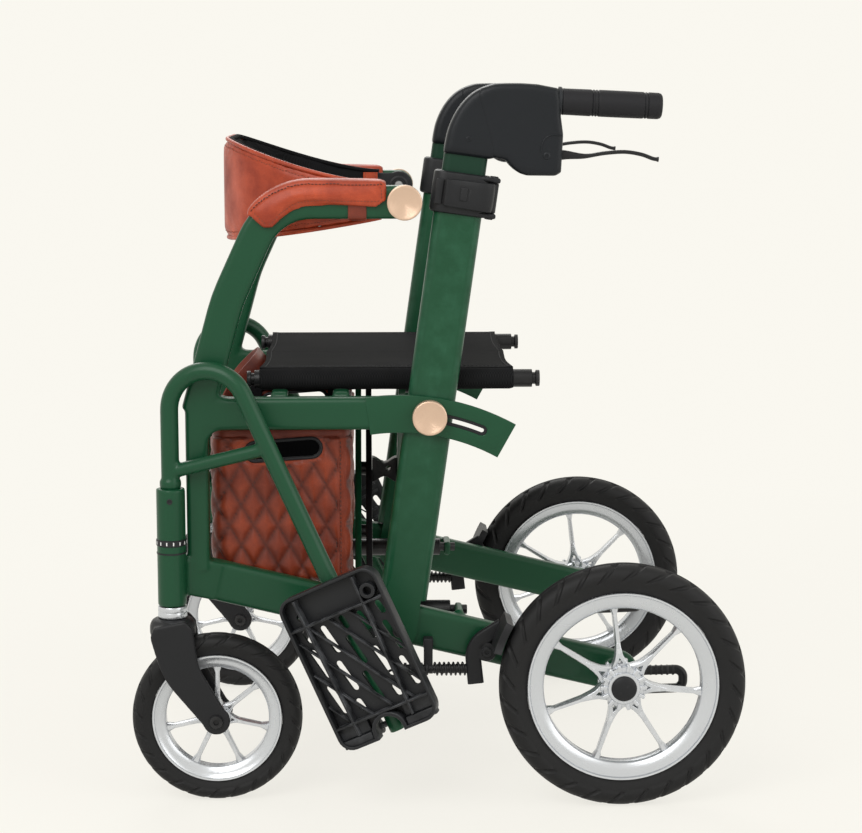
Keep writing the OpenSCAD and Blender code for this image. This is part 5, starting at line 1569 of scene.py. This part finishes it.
# An end's slot bead, its seam with two rows of stitches, and the thread in the valleys of the quilt
def addBagEnd(bm, look, sign, loop, along, stretch):
    low, height, lift, (cell, cellHigh) = look["low"], look["high"] - look["low"], look["floorLift"], look["cell"]
    bead = [endPoint(look, sign, p.x - look["x"], (p.y - low - lift) / (height - lift), 0.6)
            for p in slotOutline(look, look["beadOut"])]
    addTube(bm, bead, look["bead"], sides=12, material=3, closed=True)
    seam = [endPoint(look, sign, look["seamX"] - look["x"], 0.04 + 0.9 * i / 60, 1.2) for i in range(61)]
    for shift in look["seamRows"]:
        row = [p + Vector((shift, 0, 0)) for p in seam]
        addStitches(bm, row, (0, sign * 0.5, 0), *look["seamStitch"], material=4)
    addTube(bm, seam, 1.1, sides=8, material=2)
    half = look["wide"] / 2
    centre = min(range(len(loop)), key=lambda i: abs(loop[i][0].x) + abs(loop[i][0].y - sign * half))
    middle = round(along[centre] * stretch / cell)

    def quilted(spot):
        x, w = spot
        return (look["quiltX"] < x < look["seamX"] - look["x"] - 2
                and not insideSlot(look, x + look["x"], low + w * height, 4))

    for lean in (-1, 1):
        for k in range(-14, 15):
            line = []
            for w in (0.06 + 0.88 * i / 40 for i in range(41)):
                s = (k + middle - lean * (low + w * height) / cellHigh) * cell / stretch
                line.append((loop[centre][0].x - sign * (s - along[centre]), w))
            for run in keptRuns(line, quilted):
                addTube(bm, [endPoint(look, sign, x, w, 0.45) for x, w in run], look["thread"], sides=5, material=4)


def buildBag(look):
    bm = bmesh.new()
    loop = planLoop(look)
    run, along = 0.0, []
    for (p, n), (q, m) in zip(loop, loop[1:] + loop[:1]):
        along.append(run)
        run += (q - p).length
    cell = look["cell"][0]
    stretch = round(run / cell) * cell / run
    addBagShell(bm, look, loop, along, stretch)
    for sign in (-1, 1):
        addBagEnd(bm, look, sign, loop, along, stretch)
    addStrap(bm, smoothRoute(look["strap"], 6), look["strapWide"], look["strapThick"], look["strapFace"], 2)
    bag = makeSingle("bag_shell", bm, "left_frame", [bagLeather, lining, strapLeather, blackPlastic, threadDark],
                     "tan_leather", ["bag"], sharp=70)
    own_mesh(bag)


buildBag(bagLook)
print("bag built")


# Padded leather: a short cloth run swells a shell, and no point strays further than its cap
def swell(bm, look, hold=None):
    scene = bpy.context.scene
    mesh = takeMesh("swelling", bm)
    mesh.transform(Matrix.Scale(0.001, 4))
    obj = addObject("swelling", mesh)
    addMelt(obj, look["voxel"] / 1000)
    base = shownMesh(obj)
    obj.modifiers.clear()
    obj.data = base
    start = [v.co.copy() for v in base.vertices]
    cloth = obj.modifiers.new("cloth", "CLOTH")
    cloth.settings.quality = 5
    cloth.settings.mass = 0.25
    cloth.settings.use_pressure = True
    cloth.settings.uniform_pressure_force = look["pressure"]
    cloth.settings.effector_weights.gravity = 0
    cloth.collision_settings.use_collision = False
    lastFrame = 20
    cloth.point_cache.frame_end = lastFrame
    for f in range(1, lastFrame + 1):
        scene.frame_set(f)
    run = obj.evaluated_get(bpy.context.evaluated_depsgraph_get())
    moved = [v.co.copy() for v in run.data.vertices]
    obj.modifiers.remove(cloth)
    scene.frame_set(1)
    for v, a, b in zip(base.vertices, start, moved):
        step = Vector() if hold and hold(a * 1000) else b - a
        v.co = a + step * min(1, look["cap"] / 1000 / max(step.length, 1e-9))
    obj.modifiers.new("soften", "SMOOTH").iterations = 2
    obj.modifiers.new("round", "SUBSURF").levels = 1
    done = shownMesh(obj)
    bpy.data.objects.remove(obj)
    done.transform(Matrix.Scale(1000, 4))
    out = takeShell(done)
    out.normal_update()
    return out


# Lays a line on a surface, with the surface's normal at each point
def layOn(tree, points):
    laid = [tree.find_nearest(Vector(p)) for p in points]
    return [hit[0] for hit in laid], [hit[1] for hit in laid]


def sewChannel(bm, points, depth, width):
    near = kdtree.KDTree(len(points))
    for i, p in enumerate(points):
        near.insert(p, i)
    near.balance()
    for v in bm.verts:
        d = near.find(v.co)[2]
        if d < width * 2.5:
            v.co -= v.normal * depth * math.exp(-(d / width) ** 2)
    bm.normal_update()


# Presses each line into a surface as a channel, and then lays its stitches in it
def sewLines(bm, lines):
    tree = bvhtree.BVHTree.FromBMesh(bm)
    for points, sewing in lines:
        sewChannel(bm, layOn(tree, points)[0], *sewing["channel"])
    tree = bvhtree.BVHTree.FromBMesh(bm)
    for points, sewing in lines:
        at, facing = layOn(tree, points)
        addStitches(bm, at, [n * sewing["lift"] for n in facing], *sewing["stitch"], material=sewing["thread"])


# Armrest pads: leather over the bend and the level run of the tube, sewn along the top and the lower edge
padLook = {"bendAt": (-373.7, 656), "bend": 75, "from": 52, "lastX": -284, "y": -238.5, "half": 19.0, "rise": 28.4,
           "tube": (13.0, 20.4), "strapX": -319, "strap": (22, 1.6), "voxel": 3.6, "cap": 5, "pressure": 4.0,
           "clear": 2.4,
           "topSeam": {"channel": (1.3, 2.0), "lift": 0.5, "stitch": (4.4, 3.0, 0.55), "thread": 2},
           "rimSeam": {"channel": (0.5, 1.8), "lift": 0.25, "stitch": (4.0, 2.6, 0.42), "thread": 1}}


def padPlace(look, t):
    bent = math.radians(look["from"]) * look["bend"]
    level = look["lastX"] - look["bendAt"][0]
    d = t * (bent + level)
    if d < bent:
        a = 90 + look["from"] * (1 - d / bent)
        return Vector(look["bendAt"]) + polar(look["bend"], a), polar(1, a)
    return Vector((look["bendAt"][0] + d - bent, look["bendAt"][1] + look["bend"])), Vector((0, 1))


def padLip(t):
    corner = 1 - min(t / 0.1, (1 - t) / 0.08, 1)
    return -4.5 - 9 * max(0, 1 - t * 1.9) ** 1.4 + 9 * corner ** 2


def padPoint(look, t, side, rise):
    p, up = padPlace(look, t)
    return Vector((p.x + up.x * rise, look["y"] + side, p.y + up.y * rise))


def padSkin(look, t, a):
    s = 1 - 0.1 * (1 - min(t / 0.06, (1 - t) / 0.06, 1)) ** 2
    c, k = math.cos(math.radians(a)), math.sin(math.radians(a))
    return look["half"] * s * math.copysign(abs(c) ** 0.5, c), 3 + (look["rise"] * s - 3) * abs(k) ** 0.62


def padSeams(look):
    lines = []
    for sign in (-1, 1):
        top = []
        for t in (0.03 + 0.94 * i / 80 for i in range(81)):
            side, rise = padSkin(look, t, 40)
            top.append(padPoint(look, t, sign * abs(side) * 1.1, rise * 1.05))
        out = sign * look["half"] * 1.2
        low = [padPoint(look, t, out, padLip(t) + 5.5) for t in (0.045 + 0.91 * i / 80 for i in range(81))]
        front = [padPoint(look, 0.035, out, r) for r in range(-2, 21, 2)]
        rear = [padPoint(look, 0.965, out, r) for r in range(4, 23, 2)]
        lines += [(top, look["topSeam"])] + [(line, look["rimSeam"]) for line in (low, front, rear)]
    return lines


def buildPads(look):
    bm = bmesh.new()
    tubeHalf, tubeHigh = look["tube"]
    rings = []
    for t in (i / 48 for i in range(49)):
        lip = padLip(t)
        skin = [padSkin(look, t, 180 * j / 24) for j in range(25)]
        wide = skin[0][0]
        edge = [(tubeHalf, lip + 1), (tubeHalf + 2, lip), (wide - 0.8, lip), (wide, lip + 1.2)]
        ring = edge + skin + [(-side, rise) for side, rise in reversed(edge)]
        ring += [(-tubeHalf, tubeHigh), (tubeHalf, tubeHigh)]
        rings.append([padPoint(look, t, side, rise) for side, rise in ring])
    addLoft(bm, rings)
    bmesh.ops.recalc_face_normals(bm, faces=bm.faces[:])

    # The face against the tube stays where it is
    def againstTube(p):
        d = Vector((p.x, p.z)) - Vector(look["bendAt"])
        rise = d.length - look["bend"] if d.x < 0 else d.y - look["bend"]
        return abs(p.y - look["y"]) < tubeHalf + look["clear"] and rise < tubeHigh + look["clear"]

    pad = swell(bm, look, againstTube)
    sewLines(pad, padSeams(look))
    loop = roundRect(2 * tubeHalf + 1.6, 2 * tubeHigh + 1, 7, 6)
    strap = bmesh.new()
    around = [(look["strapX"], look["y"] + p.x, flipZ + p.y) for p in loop + loop[:1]]
    addStrap(strap, around, *look["strap"], None, 3)
    joinInto(pad, strap)
    for piece in makePair("arm_pad", pad, "frame", [tanLeather, threadTan, threadDark, strapLeather], "tan_leather",
                          ["armrest_pad"], sharp=70):
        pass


buildPads(padLook)
print("armrest pads sewn")

# Backrest: a padded band, leather outside and lined inside, between two round hinges
bandLook = {"reach": 222, "half": 206.4, "round": 140, "end": -290, "endLow": -22, "endHigh": 21.5,
            "frontLow": -54, "frontHigh": 73, "thick": 7.0, "voxel": 3.8, "cap": 4, "pressure": 4.0, "piping": 2.7,
            "tab": (20, 1.8), "rim": 1.4,
            "seam": {"channel": (0.6, 1.9), "lift": 0.3, "stitch": (4.4, 2.9, 0.45), "thread": 2}}


def bandPlan(look, gap):
    straight, r = look["reach"] - look["round"], look["round"]
    centre = (flipX - straight, r - look["half"])
    spots = [(Vector((look["end"], -look["half"])), Vector((0, -1)))]
    spots += [(Vector(centre) + polar(r, 270 - 6 * i), polar(1, 270 - 6 * i)) for i in range(16)]
    spots += [(Vector((p.x, -p.y)), Vector((n.x, -n.y))) for p, n in reversed(spots)]
    return [(p, n.normalized()) for p, n in denser(spots, gap)] + [spots[-1]]


def bandEdges(look, x):
    t = min(1, max(0, (look["end"] - x) / (look["end"] - flipX + look["reach"])))
    low = look["endLow"] + (look["frontLow"] - look["endLow"]) * t ** 0.9
    return flipZ + low, flipZ + look["endHigh"] + (look["frontHigh"] - look["endHigh"]) * t ** 1.5


# How far a point lies inside the band's outer face
def bandDepth(look, p):
    dx = abs(p.x - flipX) - (look["reach"] - look["round"])
    dy = abs(p.y) - (look["half"] - look["round"])
    if dx > 0 and dy > 0:
        return look["round"] - math.hypot(dx, dy)
    return min(look["round"] - dx, look["round"] - dy)


def bandSeams(look):
    lines = []
    for edge, inset in ((0, 9), (1, -9)):
        lines.append([Vector((p.x + n.x * 4, p.y + n.y * 4, bandEdges(look, p.x)[edge] + inset))
                      for p, n in bandPlan(look, 3)[3:-3]])
    x = look["end"] - 6
    low, high = bandEdges(look, x)
    for sign in (-1, 1):
        lines.append([Vector((x, sign * (look["half"] + 4), low + 6 + (high - low - 12) * i / 12))
                      for i in range(13)])
    return [(line, look["seam"]) for line in lines]


# A stitched tab inside each end
def addBandTabs(bm, look):
    seam = look["seam"]
    x = look["end"] - 12
    low, high = bandEdges(look, x)
    for sign in (-1, 1):
        y = sign * (look["half"] - look["thick"] - 2.2)
        tab = [(x, y, low + 4 + (high - low - 8) * i / 10) for i in range(11)]
        addStrap(bm, tab, *look["tab"], (0, sign, 0))
        for dx in (-7, 7):
            row = [(x + dx, y - sign, z) for x, y, z in tab]
            addStitches(bm, row, (0, -sign * seam["lift"], 0), *seam["stitch"], material=seam["thread"])


def buildBand(look):
    bm = bmesh.new()
    plan, half = bandPlan(look, 6), look["thick"] / 2
    rings = []
    for p, n in plan:
        low, high = bandEdges(look, p.x)
        mid = p - n * look["thick"] / 2
        rings.append([Vector((mid.x + n.x * q.x, mid.y + n.y * q.x, (low + high) / 2 + q.y))
                      for q in roundRect(look["thick"], high - low, 3.2)])
    addLoft(bm, rings)
    bmesh.ops.recalc_face_normals(bm, faces=bm.faces[:])
    band = swell(bm, look)
    for v in band.verts:
        low, high = bandEdges(look, v.co.x)
        v.co.z = min(max(v.co.z, low + look["rim"]), high - look["rim"])
    for f in band.faces:
        f.material_index = 1 if bandDepth(look, f.calc_center_median()) > half + 0.6 else 0
    for shift, finish in ((half - 2.2, 0), (half + 2.2, 1)):
        for edge, inset in ((0, 1.6), (1, -1.6)):
            piping = [(p.x - n.x * shift, p.y - n.y * shift, bandEdges(look, p.x)[edge] + inset) for p, n in plan]
            addTube(band, piping, look["piping"], sides=10, material=finish)
    sewLines(band, bandSeams(look))
    addBandTabs(band, look)
    piece = makeSingle("back_band", band, "backrest", [tanLeather, lining, threadTan], "tan_leather",
                       ["backrest_band"], sharp=70)
    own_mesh(piece)


buildBand(bandLook)

# Hinges: a grooved disc with its bolt, and a plate riveted to the band
hingeLook = {"disc": [(17.6, -225.4), (19, -224.4), (19, -219), (17.8, -218.4), (17.8, -217.6), (19, -217),
                      (19, -208.4), (17.6, -207.2)],
             "ring": [(13, -207.4), (13, -206.2), (10.6, -205.6), (10.2, -206.6), (7, -206.6)],
             "bolt": (6.4, 3.0, 2.8), "boltY": -206.8, "pin": (7.8, -238, -225), "plateEnd": -341.5,
             "faces": (-210, -207.3), "half": 17, "rivet": (4.6, 2.0, 2.0), "rivets": (0, 32), "valleyShadeMask": 1.7}


def buildHinges(look):
    bm = bmesh.new()
    for profile in (look["disc"], look["ring"]):
        addTurned(bm, profile, (flipX, 0, flipZ), alongY)
    addBolt(bm, (flipX, look["boltY"], flipZ), alongY, *look["bolt"], material=1)
    addPin(bm, *look["pin"], (flipX, 0, flipZ), alongY, sides=28)
    far, half = look["plateEnd"], look["half"]
    outline = arc((far, flipZ), half, 90, 270, 12) + [Vector((flipX, flipZ - half)), Vector((flipX, flipZ + half))]
    addPlate(bm, outline, *look["faces"], bevel=0.8)
    for dx in look["rivets"]:
        addBolt(bm, (far + dx, look["faces"][0] + look["valleyShadeMask"], flipZ), outward, *look["rivet"], material=1)
    makePair("hinge_disc", bm, "", [blackPlastic, steel], "black_plastic", ["backrest_hinge"],
             keepBodies={"left": "backrest", "right": "backrest_right"})


buildHinges(hingeLook)
print("backrest built")
